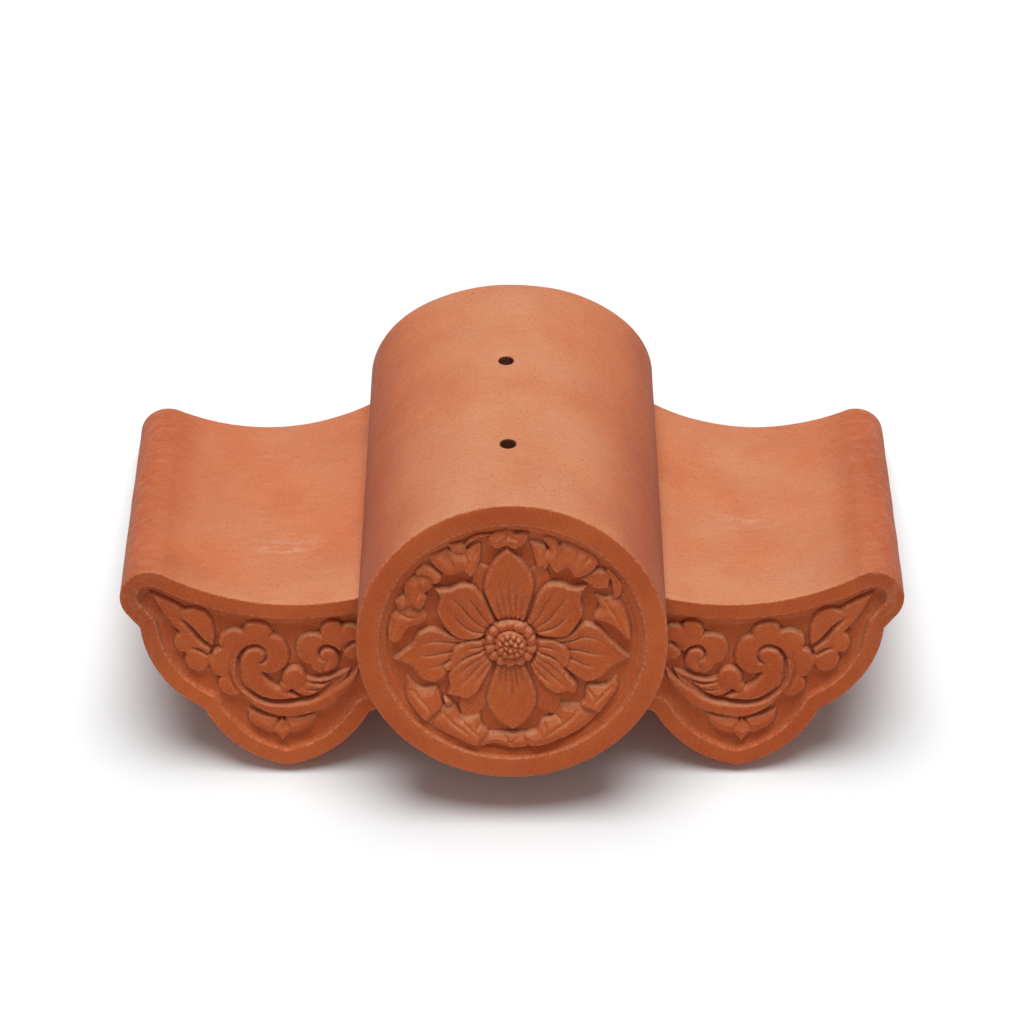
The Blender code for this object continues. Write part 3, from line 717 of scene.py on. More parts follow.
def disc_arcs():
    """The disc's outline on a unit circle: its arc above the barrel's edges, and the one below."""
    start = math.asin(barrel_edge(DISC_THICKNESS, 0) / DISC_RADIUS)
    return (np.exp(1j * np.linspace(start, math.pi - start, OUTER_STEPS + 1)),
            np.exp(1j * np.linspace(math.pi - start, 2 * math.pi + start, LOWER_STEPS + 1)))


def disc_sheets():
    upper, lower = disc_arcs()
    circle = np.concatenate((upper, lower[1:-1]))
    rim = DISC_RADIUS - RIM_WIDTH + 0.6
    lines = [radius * around(int(2 * math.pi * radius / FACE_SPACING) - 1)
             for radius, _ in RECESS_STEPS[-2:1:-1]]
    places, faces = fill(rim * circle, FACE_SPACING, lines)
    field = upright(places, disc_depth(places))
    flat = [upright(radius * circle, 0.0) for radius in (rim, *RIM_RINGS, DISC_RADIUS - EDGE_ROUND)]
    edge = [upright((DISC_RADIUS - EDGE_ROUND * (1 - math.sin(a))) * circle,
                    EDGE_ROUND * (1 - math.cos(a))) for a in ROUNDING[1:]]
    side = [upright(DISC_RADIUS * circle, y) for y in (*SIDE_RINGS, DISC_THICKNESS)]
    return [(field, faces), loft(flat + edge + side)]


def barrel_sheets():
    last = BARREL_LENGTH - EDGE_ROUND
    rings = [barrel_ring(y) for y in np.linspace(DISC_THICKNESS, last, BARREL_STATIONS)]
    rings += [barrel_ring(last + EDGE_ROUND * math.sin(a), EDGE_ROUND * (1 - math.cos(a)))
              for a in ROUNDING[1:]]
    inner = barrel_arch(DISC_THICKNESS, BARREL_WALL, INNER_STEPS)
    back = np.concatenate((DISC_RADIUS * disc_arcs()[1], flattened(inner)))
    back_places, back_faces = fill(back, PLAIN_SPACING)
    end_places, end_faces = fill(flattened(rings[-1]), PLAIN_SPACING / 2)
    return [loft(rings), (upright(back_places, float(DISC_THICKNESS)), back_faces),
            (upright(end_places, float(BARREL_LENGTH)), end_faces)]


cap = weld("cap_tile_clay", disc_sheets() + barrel_sheets())

# %% [markdown]
# ### The nail holes
# Two nails hold the cap tile to the roof. Their holes were pushed through the damp clay, which
# left each mouth slightly dished. One Boolean with two turned cutters makes both at once.

# %% Cut the nail holes
NAIL_HOLE_RADIUS = 3.5
NAIL_HOLE_PLACES = ((-1.8, 62), (-2.8, 151))
NAIL_HOLE_SIDES = 40
NAIL_SLANT = 1.3  # the holes are this much longer up the roof than across it
MOUTH_DROP = 1.1  # where a mouth begins to widen, below the crown
MOUTH = ((0, 0), (0.12, 0.55), (0.45, 1.0), (1.1, 1.25), (2.2, 1.3))  # wider by, higher by
AXIS_GAP = 0.01   # the cutter stops this short of its axis, so that its caps keep all their points


def nail_cutter():
    """Both holes in one mesh, each a stack of oval rings."""
    sheets = []
    for x, y in NAIL_HOLE_PLACES:
        top = DISC_RADIUS - BARREL_CROWN_DROP * y / BARREL_LENGTH - MOUTH_DROP
        bottom, above = top - 2 * BARREL_WALL, top + 6
        profile = [(AXIS_GAP, bottom), (NAIL_HOLE_RADIUS, bottom)]
        profile += [(NAIL_HOLE_RADIUS + wider, top + higher) for wider, higher in MOUTH]
        profile += [(NAIL_HOLE_RADIUS + MOUTH[-1][0], above), (AXIS_GAP, above)]
        circle = around(NAIL_HOLE_SIDES)
        rings = [np.stack((x + r * circle.real, y + NAIL_SLANT * r * circle.imag,
                           np.full(NAIL_HOLE_SIDES, z)), axis=1) for r, z in profile]
        points, faces = loft(rings)
        faces += [tuple(range(NAIL_HOLE_SIDES)), tuple(range(len(points) - NAIL_HOLE_SIDES, len(points)))]
        sheets.append((points, faces))
    return weld("nail_cutter", sheets)


def cut_nail_holes(tile):
    cutter = nail_cutter()
    cut = tile.modifiers.new("nail holes", "BOOLEAN")
    cut.solver = "MANIFOLD"
    cut.object = cutter
    view = bpy.context.evaluated_depsgraph_get()
    drilled = bpy.data.meshes.new_from_object(tile.evaluated_get(view))
    tile.modifiers.clear()
    tile.data = drilled
    bpy.data.objects.remove(cutter, do_unlink=True)


cut_nail_holes(cap)
print("drilled cap tile:", len(cap.data.polygons), "faces")

# %% [markdown]
# ## The drip tiles
# Each drip tile hangs a lobed face from the front of its pan, so that rain drips clear of the
# eaves. The outline is two round lips, a hollow crest between them, and below it three lobes
# that end in a point. The left tile is the right one turned over.

# %% Draw arcs in even steps
OUTLINE_STEP = 0.5


def arc(middle, radius, start, end):
    """An arc between two angles in degrees, in even steps."""
    count = max(2, round(abs(radius * math.radians(end - start)) / OUTLINE_STEP))
    return middle + polar(radius, np.linspace(start, end, count + 1))


def bulged(start, end, bulge):
    """An arc between two places that stands out by bulge on its right."""
    chord = end - start
    radius = (abs(chord) ** 2 / 4 + bulge ** 2) / (2 * bulge)
    middle = (start + end) / 2 - 1j * chord / abs(chord) * (bulge - radius)
    first = math.degrees(np.angle(start - middle))
    sweep = 2 * math.degrees(math.asin(abs(chord) / 2 / radius))
    return arc(middle, radius, first, first + sweep)


def resampled(path, count):
    """The same path in count even steps."""
    gone = np.concatenate(([0], np.cumsum(np.abs(np.diff(path)))))
    at = np.linspace(0, gone[-1], count + 1)
    return np.interp(at, gone, path.real) + 1j * np.interp(at, gone, path.imag)


def mirrored(places):
    return -np.conj(places[::-1])


print("points on a half circle of 10 mm:", len(arc(0, 10, 0, 180)))

# %% Draw the face's outline
UPPER_NOTCH = 67 - 14.4j
LOWER_NOTCH = 38 - 56j
TIP_DROP = 85.3
TIP_RADIUS = 0.9
SIDE_LOBE_BULGE = 6.5
TIP_LOBE_BULGE = 5.6
LIP_COUNT = 75
HOLLOW_COUNT = 230
SOFFIT_COUNT = 90
LIP_UNDER_COUNT = 18


def lip(radius):
    """Middle of the round lip on a hollow of that radius, and the slope where they touch."""
    reach = PAN_HALF_WIDTH - LIP_RADIUS
    slope_there = math.asin(reach / (radius + LIP_RADIUS))
    return reach + 1j * (radius - (radius + LIP_RADIUS) * math.cos(slope_there)), math.degrees(slope_there)


def crest(radius):
    """Over the top from the outer neck to the inner one."""
    middle, slope_there = lip(radius)
    outer = resampled(arc(middle, LIP_RADIUS, NECK_DEGREES, 90 + slope_there), LIP_COUNT)
    hollow = resampled(arc(1j * radius, radius, slope_there - 90, -slope_there - 90), HOLLOW_COUNT)
    return np.concatenate((outer, hollow[1:-1], mirrored(outer)))


def underside(radius):
    """Below the pan from the inner neck to the outer one, without the necks."""
    middle, slope_there = lip(radius)
    lower, away = radius + PAN_THICKNESS, radius + LIP_RADIUS
    turned = math.degrees(math.acos((away ** 2 + LIP_RADIUS ** 2 - lower ** 2) / (2 * away * LIP_RADIUS)))
    meet = 90 + slope_there + turned - 360
    outer = resampled(arc(middle, LIP_RADIUS, meet, NECK_DEGREES), LIP_UNDER_COUNT)[:-1]
    reach = math.degrees(np.angle(outer[0] - 1j * radius))
    soffit = resampled(arc(1j * radius, lower, -180 - reach, reach), SOFFIT_COUNT)
    return np.concatenate((mirrored(outer), soffit[1:-1], outer))


def lobes():
    """The hanging outline from the inner neck round the tip to the outer one."""
    middle, _ = lip(PAN_HOLLOW[0])
    start = middle + polar(LIP_RADIUS, NECK_DEGREES)
    neck = np.linspace(UPPER_NOTCH, start, round(abs(start - UPPER_NOTCH) / OUTLINE_STEP) + 1)
    central = bulged(TIP_RADIUS - 1j * TIP_DROP, LOWER_NOTCH, TIP_LOBE_BULGE)
    side = bulged(LOWER_NOTCH, UPPER_NOTCH, SIDE_LOBE_BULGE)
    tip = [-1j * (TIP_DROP + TIP_RADIUS / 2)]
    outer = np.concatenate((tip, central, side[1:], neck[1:-1]))
    return np.concatenate((mirrored(outer[1:]), outer))


outline = np.concatenate((crest(PAN_HOLLOW[0]), lobes()))
print(f"the drip face's outline has {len(outline)} points and is {np.ptp(outline.imag):.1f} mm tall")

# %% [markdown]
# ### The scrollwork
# A large scroll sweeps under the middle of the face and curls up into a cloud-shaped head. A
# smaller scroll turns against it, a comma-shaped leaf fills the space between, pointed leaves
# run into the corners, and a bud between two leaves sits over the tip. These are stock motifs
# of carved clay. They are drawn for one tile, outward to the right, and turned over for the
# other.

# %% Draw the large scroll
SCROLL_RISE = 3.1
CORD_RISE = 3.6
BIG_CLOUD = ((9.2 - 27.2j, 10.6), (13.8 - 17.8j, 7.4), (24.4 - 21.8j, 7), (27.4 - 32.4j, 8.4),
             (25 - 43.6j, 6.9))
BIG_NOTCHES = ((7.4 - 16.4j, 9.2 - 19.6j), (20 - 14.6j, 19 - 18.4j), (30.4 - 23.4j, 27.4 - 23.8j),
               (30.8 - 40.2j, 27.6 - 38.8j), (14.4 - 35.6j, 12.4 - 33.6j))
CORD = (23.6 - 31j, 23.4 - 38j, 20.4 - 45.4j, 13 - 53.2j, 4.5 - 56.3j, -4.5 - 56.7j, -12 - 54.4j,
        -19.7 - 50j, -26.5 - 44j, -31 - 37.6j, -33.4 - 32.6j)
CORD_WIDTHS = ((0, 0.3), (0.12, 0.55), (0.25, 0.68), (0.4, 0.96), (0.6, 0.98), (0.78, 0.8), (0.92, 0.42),
               (1, 0.02))
TONGUE = (13.2 - 27.8j, 16.4 - 29.4j, 17 - 34.4j, 16 - 39.4j, 12.7 - 43.8j, 7.6 - 47.4j, 0.4 - 49.8j,
          -7 - 50.4j)
TONGUE_WIDTHS = ((0, 0.74), (0.15, 0.9), (0.35, 1), (0.55, 0.97), (0.75, 0.75), (1, 0.02))
SCROLL_GROOVE = (8.6 - 29.8j, 10 - 26j, 13.4 - 23.8j, 18 - 24.8j, 21.6 - 28.6j, 22.9 - 33.6j, 22.2 - 39.4j,
                 19.6 - 45.4j, 14.6 - 49.4j, 7 - 52.2j, -1.4 - 52.4j, -9 - 50.3j, -16.6 - 46.2j,
                 -24 - 39.8j, -29.8 - 34.6j)


def big_scroll(relief):
    """A cloud-shaped head, a long cord that sweeps under it, and a tongue curled inside."""
    relief.cloud(BIG_CLOUD, SCROLL_RISE, edge=1.5)
    relief.notches(BIG_NOTCHES, 0.8)
    relief.leaf(through(*CORD, count=80), 4.1, CORD_RISE, CORD_WIDTHS, edge=2.6, sunk=0.5)
    relief.leaf(through(*TONGUE), 5.0, CORD_RISE - 0.2, TONGUE_WIDTHS, edge=2.6, sunk=0.2)
    relief.groove(through(*SCROLL_GROOVE, count=80), 2.2, 1.0,
                  ((0, 0.2), (0.06, 0.9), (0.3, 1), (0.85, 1), (1, 0.1)))
    relief.groove(through(24.8 - 27.6j, 26.4 - 34j, 25.2 - 41.6j, 21.6 - 47.6j, 16.4 - 51.6j), 0.7, 0.8)
    relief.groove(through(9.2 - 28.4j, 10 - 31.2j, 12.6 - 32.6j), 1.5, 0.7)


print("the large scroll's cord is", round(np.abs(np.diff(through(*CORD))).sum()), "mm long")

# %% Draw the small scroll and the comma-shaped leaf
SMALL_CLOUD = ((-12.6 - 24.6j, 8.8), (-15.6 - 31j, 5.8), (-20.6 - 14.8j, 5.8), (-29.4 - 16j, 5.6),
               (-23 - 20j, 5.8))
SMALL_NOTCHES = ((-14.6 - 15.2j, -16.8 - 17.6j), (-25 - 11.6j, -25.4 - 15j))
SMALL_GROOVE = (-24 - 29.6j, -23.8 - 26j, -21 - 23j, -17.2 - 22.8j, -15 - 25.4j, -15.4 - 29j)
COMMA = (-3.5 - 40.6j, -7.6 - 43.6j, -13.6 - 44.3j, -20.4 - 41.6j, -29 - 34.6j)


def small_scroll(relief):
    relief.cloud(SMALL_CLOUD, SCROLL_RISE, edge=1.5)
    relief.notches(SMALL_NOTCHES, 0.9)
    relief.groove(through(*SMALL_GROOVE), 2.0, 0.9)
    relief.leaf(through(-17 - 27.2j, -19.8 - 26.4j, -21.4 - 30j, -18.6 - 34.4j), 3.2, SCROLL_RISE + 0.2,
                ((0, 0.7), (0.5, 1), (1, 0.5)), edge=2, sunk=0.7)
    relief.cloud(((-30 - 25j, 4.4),), SCROLL_RISE - 0.3, edge=1.5)
    relief.groove(through(-32.6 - 18.6j, -28.6 - 21.6j, -25.6 - 25.2j), 1.3, 0.9)


def comma_leaf(relief):
    """A leaf with a round head and a split tail that runs back beside the cord."""
    relief.leaf(through(*COMMA), 5.8, SCROLL_RISE,
                ((0, 0.95), (0.3, 0.9), (0.6, 0.66), (0.85, 0.42), (1, 0.05)), edge=1.8, sunk=0.6)
    relief.groove(through(-9.6 - 41.4j, -16.6 - 41.9j, -25.4 - 38.2j), 1.5, 0.7)
    relief.groove(through(-8.4 - 45.4j, -15 - 45.2j, -21.6 - 42.2j), 0.9, 0.6)
    relief.cloud(((-3.2 - 39.6j, 6.0), (0.4 - 44.6j, 3.2)), SCROLL_RISE + 0.3, edge=2.2, sunk=0.5)


print("the comma-shaped leaf is", round(np.abs(np.diff(through(*COMMA))).sum()), "mm long")

# %% Draw the corner leaves and the bud
CORNER_LEAF = (63.4 + 3.5j, 58 + 1.3j, 53.8 - 0.4j, 49.6 - 3j, 46.8 - 5.8j, 43.9 - 4.6j, 40.7 - 4.1j,
               37.4 - 5.4j, 35 - 9.1j, 33.2 - 13.4j, 32.6 - 19.5j, 33.6 - 25j, 38 - 29j, 44 - 26j,
               50.4 - 16.2j, 53.4 - 11.8j, 58.6 - 4.1j)
CORNER_LOBES = ((46.8 - 21.8j, 5.6), (41 - 31.6j, 6.3), (41 - 25j, 6.2))
# Each slit's path, depth, half width, and how deep it is along the way.
CORNER_SLITS = (
    ((50.8 - 7.8j, 46.8 - 12.2j, 42.4 - 17.2j, 37.6 - 22.4j, 32 - 26.4j), 2.5, 1.0,
     ((0, 0.1), (0.25, 0.9), (0.9, 1), (1, 0.6))),
    ((44.6 - 24.4j, 41 - 25.6j, 36.6 - 28.8j), 1.8, 0.8, ((0, 0.1), (0.5, 1), (1, 0.8))),
    ((51.6 - 16.2j, 48.4 - 16.8j), 1.2, 0.7, FADING),
)


def corner_leaf(relief, side):
    """The pointed leaf in a corner, split by a deep slit, with two round lobes at its base."""
    def turned(places):
        return [p if side > 0 else complex(-p.real, p.imag) for p in places]

    middles, radii = zip(*CORNER_LOBES)
    relief.cloud(list(zip(turned(middles), radii)), SCROLL_RISE, edge=1.6)
    relief.shape(turned(CORNER_LEAF), SCROLL_RISE - 0.3, 1.5, 0.08, sunk=0)
    for path, depth, width, keys in CORNER_SLITS:
        relief.groove(through(*turned(path)), depth, width, keys)


BUD_RISE = 2.4
BUD = (2.1 - 60.2j, 4 - 64.4j, 7 - 67.2j, 4.6 - 70.2j, 2.2 - 73.8j, -0.4 - 70.4j, -2.8 - 67j, 0 - 64.4j)
BUD_LEAVES = ((-15.8 - 56.6j, -8.6 - 59.8j, 1 - 61.6j, 0 - 69j, -6.6 - 68j, -12.4 - 64j),
              (18.8 - 56.6j, 12 - 59.6j, 3.6 - 61.8j, 4.6 - 69j, 11.6 - 67.8j, 17.2 - 63.4j))


def bud(relief):
    """The bud over the tip, between two lying leaves."""
    for leaf in BUD_LEAVES:
        relief.shape(rounded(leaf, 50), BUD_RISE, 1.3, 0.28, -0.06j)
    relief.shape(BUD, BUD_RISE, 0.9, 0.42)
    relief.groove(np.array([2.1 - 60.6j, 2.1 - 67j]), 0.5, 0.5, ((0, 1), (1, 0.2)))


print("slits in each corner leaf:", len(CORNER_SLITS))

# %% Shape the face's border and recess
GROUND_DEPTH = 4.2
BORDER_WIDTH = 7.4
# How far in from the outline, and how deep, at each step from the border to the ground.
BORDER_STEPS = ((0, 0), (BORDER_WIDTH, 0), (7.8, 0.3), (8.4, 2.6), (8.9, 3.2), (10.8, 3.7), (11.7, 4.0),
                (12.6, GROUND_DEPTH), (60, GROUND_DEPTH))
SCROLL_LIMIT, SCROLL_FADE = 8.8, 1.5  # the relief fades out before it reaches the border
DEEPEST_CUT = 0.6  # a cut goes no further than this below the ground
DRIP_SPACING = 0.46


def face_depth(places):
    """How deep the drip face lies behind its border at each place, relief and all."""
    inward, depth = np.array(BORDER_STEPS).T
    edge = depth_inside(places, outline)
    relief = Relief(places)
    for side in (1, -1):
        corner_leaf(relief, side)
    small_scroll(relief)
    comma_leaf(relief)
    big_scroll(relief)
    bud(relief)
    height = np.clip(relief.height, -DEEPEST_CUT, None) * np.clip((edge - SCROLL_LIMIT) / SCROLL_FADE, 0, 1)
    return stood(np.interp(edge, inward, depth), GROUND_DEPTH, height)


print("the drip face on its large scroll and over its tip, in mm behind the border:",
      face_depth(np.array([17 - 26j, -58j])).round(2))

# %% Build the drip tile's sheets
PAN_STATIONS = 30
PLATE_RINGS = (5, 9)  # rings of points down the hanging plate's edge


def moved_in(path, distance):
    """A closed path moved inward by a distance, point by point."""
    ahead = np.roll(path, -1) - path
    ahead /= np.abs(ahead)
    behind = np.roll(ahead, 1)
    inward = 1j * (ahead + behind) / np.abs(ahead + behind)
    return path + inward * distance / np.maximum((inward / (1j * ahead)).real, 0.5)


def pan_points(y, places):
    return upright(pan_place(y, places), y)


def border_lines():
    """Lines of places along each step of the border, so that its edges come out clean."""
    for distance, _ in BORDER_STEPS[2:-1]:
        line = moved_in(outline, distance)
        yield line[depth_inside(line, outline) > distance - 0.02]


def face_sheets():
    places, faces = fill(moved_in(outline, EDGE_ROUND), DRIP_SPACING, border_lines())
    field = upright(pan_place(FACE_FRONT, places), FACE_FRONT + face_depth(places))
    rings = [pan_points(FACE_FRONT + EDGE_ROUND * (1 - math.cos(a)),
                        moved_in(outline, EDGE_ROUND * (1 - math.sin(a)))) for a in ROUNDING]
    rings += [pan_points(FACE_FRONT + y, outline) for y in (*PLATE_RINGS, FACE_THICKNESS)]
    return [(field, faces), loft(rings)]


def pan_sheets():
    plate_back, last = FACE_FRONT + FACE_THICKNESS, PAN_BACK - EDGE_ROUND
    rings = []
    for y in np.linspace(plate_back, last, PAN_STATIONS):
        radius = between(PAN_HOLLOW, (y - plate_back) / (last - plate_back))
        rings.append(pan_points(y, np.concatenate((crest(radius), underside(radius)))))
    section = np.concatenate((crest(PAN_HOLLOW[1]), underside(PAN_HOLLOW[1])))
    rings += [pan_points(last + EDGE_ROUND * math.sin(a), moved_in(section, EDGE_ROUND * (1 - math.cos(a))))
              for a in ROUNDING[1:]]
    end_places, end_faces = fill(flattened(rings[-1]), PLAIN_SPACING / 2)
    return [loft(rings), (upright(end_places, float(PAN_BACK)), end_faces)]


def plate_back_sheet():
    """The back of the hanging face, below the pan."""
    over = crest(PAN_HOLLOW[0])
    ring = np.concatenate((over[-1:], lobes(), over[:1], underside(PAN_HOLLOW[0])[::-1]))
    places, faces = fill(ring, PLAIN_SPACING)
    return pan_points(FACE_FRONT + FACE_THICKNESS, places), faces


drip_sheets = face_sheets() + pan_sheets() + [plate_back_sheet()]
turned_over = [(points * (-1, 1, 1), faces) for points, faces in drip_sheets]
right_drip = weld("right_drip_tile_clay", drip_sheets)
left_drip = weld("left_drip_tile_clay", turned_over)

# %% [markdown]
# ## Signs of the hand and of wear, and marks for painted shade and highlights
# Clay pressed and smoothed by hand is never quite even, and its crests are rubbed and chipped.
# The first is a slow wave in the surface itself. Crests and hollows are measured on the finished
# mesh: where a blurred copy of the surface lies outside the real one there is a hollow, and where
# it lies inside there is a crest. Both are stored for the clay's shader, and so is the shelter of
# the recesses' walls, which face up but hold no dust and take no painted sheen. The shader paints
# the deep hollows darker as painted shade, the shallow ones paler, and the crests lighter, partly
# as a painted highlight.

# %% Measure the shelter and blur the surface
UNEVEN_RISE = 0.22
UNEVEN_SIZE = 26
NEIGHBOUR = 1.2       # an edge much longer than this, in mm, doesn't spread the blur
CREST_ROUNDS, HOLLOW_ROUNDS = 3, 30
CREST_FULL, HOLLOW_FULL = 0.28, 1.0  # mm of difference that count as a full crest or hollow
CHIP_SIZE = 2.6       # small chips along the edges, in mm
CHIP_DEPTH = 1.2
CHIP_START = 0.3      # noise above this chips the crests
EDGE_RUB_AND_HIGHLIGHT = 0.8        # how full a crest the edge round each face is, all the way along: rubbed pale and given a painted highlight
FACING_FRONT = 0.97   # a face more square to the front than this isn't on its rounded edge
BLUR_STEP = 0.7       # share of the way to the neighbours' middle in one round
BLUR_HOLD = 0.05      # keeps a point without close neighbours where it is
SHARP_DEGREES = 60
BORE_SHADE = 2.3      # painted shade makes the nail holes darker than any hollow
# How sheltered a face is at each distance in from its border's inner edge.
SHELTER = ((-0.5, 0), (0.3, 1), (3.8, 1), (5.6, 0.1))


def sheltered(piece, points, behind):
    """How far the recess keeps dust and painted sheen off each point: wholly at its wall, barely on the
    relief.
    """
    places = flattened(points)
    if piece is cap:
        inward = DISC_RADIUS - RIM_WIDTH - np.abs(places)
    else:
        spot = places if piece is right_drip else -np.conj(places)
        local = (spot - pan_place(FACE_FRONT, 0)) * polar(1, PAN_ROLL[0])
        inward = depth_inside(local, outline) - BORDER_WIDTH
    return np.interp(inward, *np.array(SHELTER).T) * (behind < 2 * FIELD_DEPTH)


def vertex_array(mesh, field):
    values = np.empty(len(mesh.vertices) * 3, np.float32)
    mesh.vertices.foreach_get(field, values)
    return values.reshape(-1, 3).astype(float)


def blurred(points, edges, rounds):
    """The surface with each point drawn to the middle of its neighbours, again and again."""
    weight = np.exp(-(np.linalg.norm(points[edges[:, 0]] - points[edges[:, 1]], axis=1) / NEIGHBOUR) ** 2)
    ends = np.concatenate((edges[:, 0], edges[:, 1]))
    others = np.concatenate((edges[:, 1], edges[:, 0]))
    weight = np.concatenate((weight, weight))
    total = np.bincount(ends, weight, len(points)) + BLUR_HOLD
    result = points.copy()
    for _ in range(rounds):
        for axis in range(3):
            pull = np.bincount(ends, weight * (result[others, axis] - result[ends, axis]), len(points))
            result[:, axis] += BLUR_STEP * pull / total
    return result


print("faces to weather:", sum(len(piece.data.polygons) for piece in (cap, left_drip, right_drip)))

# %% Make the walls uneven and mark the crests and hollows


def weather(piece):
    """Wave and chip a tile's surface, and store its marks and its places in the roof's frame."""
    mesh = piece.data
    points, normals = vertex_array(mesh, "co"), vertex_array(mesh, "normal")
    wave = np.array([noise.noise(Vector(p) / UNEVEN_SIZE) for p in points])
    points += normals * (UNEVEN_RISE * wave)[:, None]
    edges = np.empty(len(mesh.edges) * 2, np.int32)
    mesh.edges.foreach_get("vertices", edges)
    edges = edges.reshape(-1, 2)
    marks = {}
    for name, rounds, full in (("crest", CREST_ROUNDS, -CREST_FULL), ("hollow", HOLLOW_ROUNDS, HOLLOW_FULL)):
        difference = blurred(points, edges, rounds) - points
        marks[name] = np.clip(np.einsum("ij,ij->i", difference, normals) / full, 0, 1)
    behind = points[:, 1] - (0 if piece is cap else FACE_FRONT)
    turning = (behind < EDGE_ROUND / 2) & (np.abs(normals[:, 1]) < FACING_FRONT)
    if piece is cap:
        turning &= np.hypot(points[:, 0], points[:, 2]) > DISC_RADIUS - RIM_WIDTH - 1
    # The rounded edge round each face is rubbed pale and carries a painted highlight.
    marks["crest"][turning] = EDGE_RUB_AND_HIGHLIGHT
    chips = np.array([noise.noise(Vector(p) / CHIP_SIZE) for p in points])
    points -= normals * (CHIP_DEPTH * marks["crest"] * np.clip(chips - CHIP_START, 0, None))[:, None]
    # The nail holes are marked for the darkest painted shade.
    if piece is cap:
        for x, y in NAIL_HOLE_PLACES:
            gap = np.hypot(points[:, 0] - x, (points[:, 1] - y) / NAIL_SLANT)
            marks["hollow"][gap < NAIL_HOLE_RADIUS + 0.3] = BORE_SHADE
    marks["shelter"] = sheltered(piece, points, behind)
    for name, values in marks.items():
        mesh.attributes.new(name, "FLOAT", "POINT").data.foreach_set("value", values.astype(np.float32))
    roof = mesh.attributes.new("roof", "FLOAT_VECTOR", "POINT")
    roof.data.foreach_set("vector", points.astype(np.float32).ravel())
    mesh.vertices.foreach_set("co", points.astype(np.float32).ravel())
    mesh.transform(ROOF @ Matrix.Scale(MM, 4))
    mesh.shade_smooth()
    mesh.set_sharp_from_angle(angle=math.radians(SHARP_DEGREES))
    crest_share, hollow_share = (np.mean(marks[name] > 0.3) for name in ("crest", "hollow"))
    print(f"{piece.name}: crest on {crest_share:.0%}, hollow on {hollow_share:.0%}")


TILES = {"cap_tile": cap, "left_drip_tile": left_drip, "right_drip_tile": right_drip}
for tile in TILES.values():
    weather(tile)

# %% [markdown]
# ## Unglazed terracotta
# Red earthenware clay, pressed, dried and fired at about 1000 degrees without a glaze. It is
# matt and slightly powdery, with fine sand in it. Its colour drifts between orange and brick
# red in clouds a few centimetres wide. The smoothing cloth leaves faint streaks across each pan,
# and pale dust with a painted sheen lies on what faces up. The shallow hollows of the relief are
# paler, the deepest cuts and the nail holes are painted dark as shade, painted shade darkens the
# faces that turn sideways and the outer lips, and crests are rubbed lighter in spots, partly as a
# painted highlight. It is one Principled shader, with noise at each of those real sizes in its
# colour, roughness and bump.

# %% Give the clay its values
TERRACOTTA = {
    "IOR": 1.5,
    "Specular IOR Level": 0.22,  # open pores swallow more than half of what glances off the surface
    "Sheen Weight": 0.03,
    "Sheen Roughness": 0.6,
}
FIRED_CLAY = "#B84F1F"
DUST_AND_SHEEN = {"cap_tile": 1.0, "left_drip_tile": 0.75, "right_drip_tile": 0.95}  # how much pale dust and painted sheen each tile shows
# Distances from the set's middle, in mm: where hands begin to rub the dust off the outer lips and painted
# shade begins to darken them, and where the dust is nearly gone and the shade is full. From a little further
# out their bare clay is worn pale in spots.
RUBBED_AND_SHADED_LIPS = (150, 172)
WORN_LIPS = (158, 176)
DUST_AND_SHEEN_FRONT = (30, 130)  # the pale dust and painted sheen thin out over this stretch up the roof
BATCH_SHIFT = 37.0  # mm from one tile's clouds to the next one's
# Pale rubbed patches: the middle of each in the roof's frame and its reach each way, in mm.
SCUFFS = (((-106, 92, -4), (24, 17, 30)), ((112, 118, 0), (26, 9, 30)))


def linear(colour):
    """An sRGB hex colour as linear red, green, blue and alpha."""
    parts = [int(colour[i:i + 2], 16) / 255 for i in (1, 3, 5)]
    return (*(c / 12.92 if c <= 0.04045 else ((c + 0.055) / 1.055) ** 2.4 for c in parts), 1)


print("the clay's first colour in linear light:", [round(c, 3) for c in linear(FIRED_CLAY)])

# %% Add one node


def add_node(tree, kind, inputs, output=0, **settings):
    """One output of a new node, with its settings and its inputs as values or other outputs."""
    made = tree.nodes.new("ShaderNode" + kind)
    for name, value in settings.items():
        setattr(made, name, value)
    for name, value in inputs.items():
        if isinstance(value, bpy.types.NodeSocket):
            tree.links.new(value, made.inputs[name])
        else:
            made.inputs[name].default_value = value
    return made.outputs[output]


print("node helper: add_node")

# %% Mix the clay


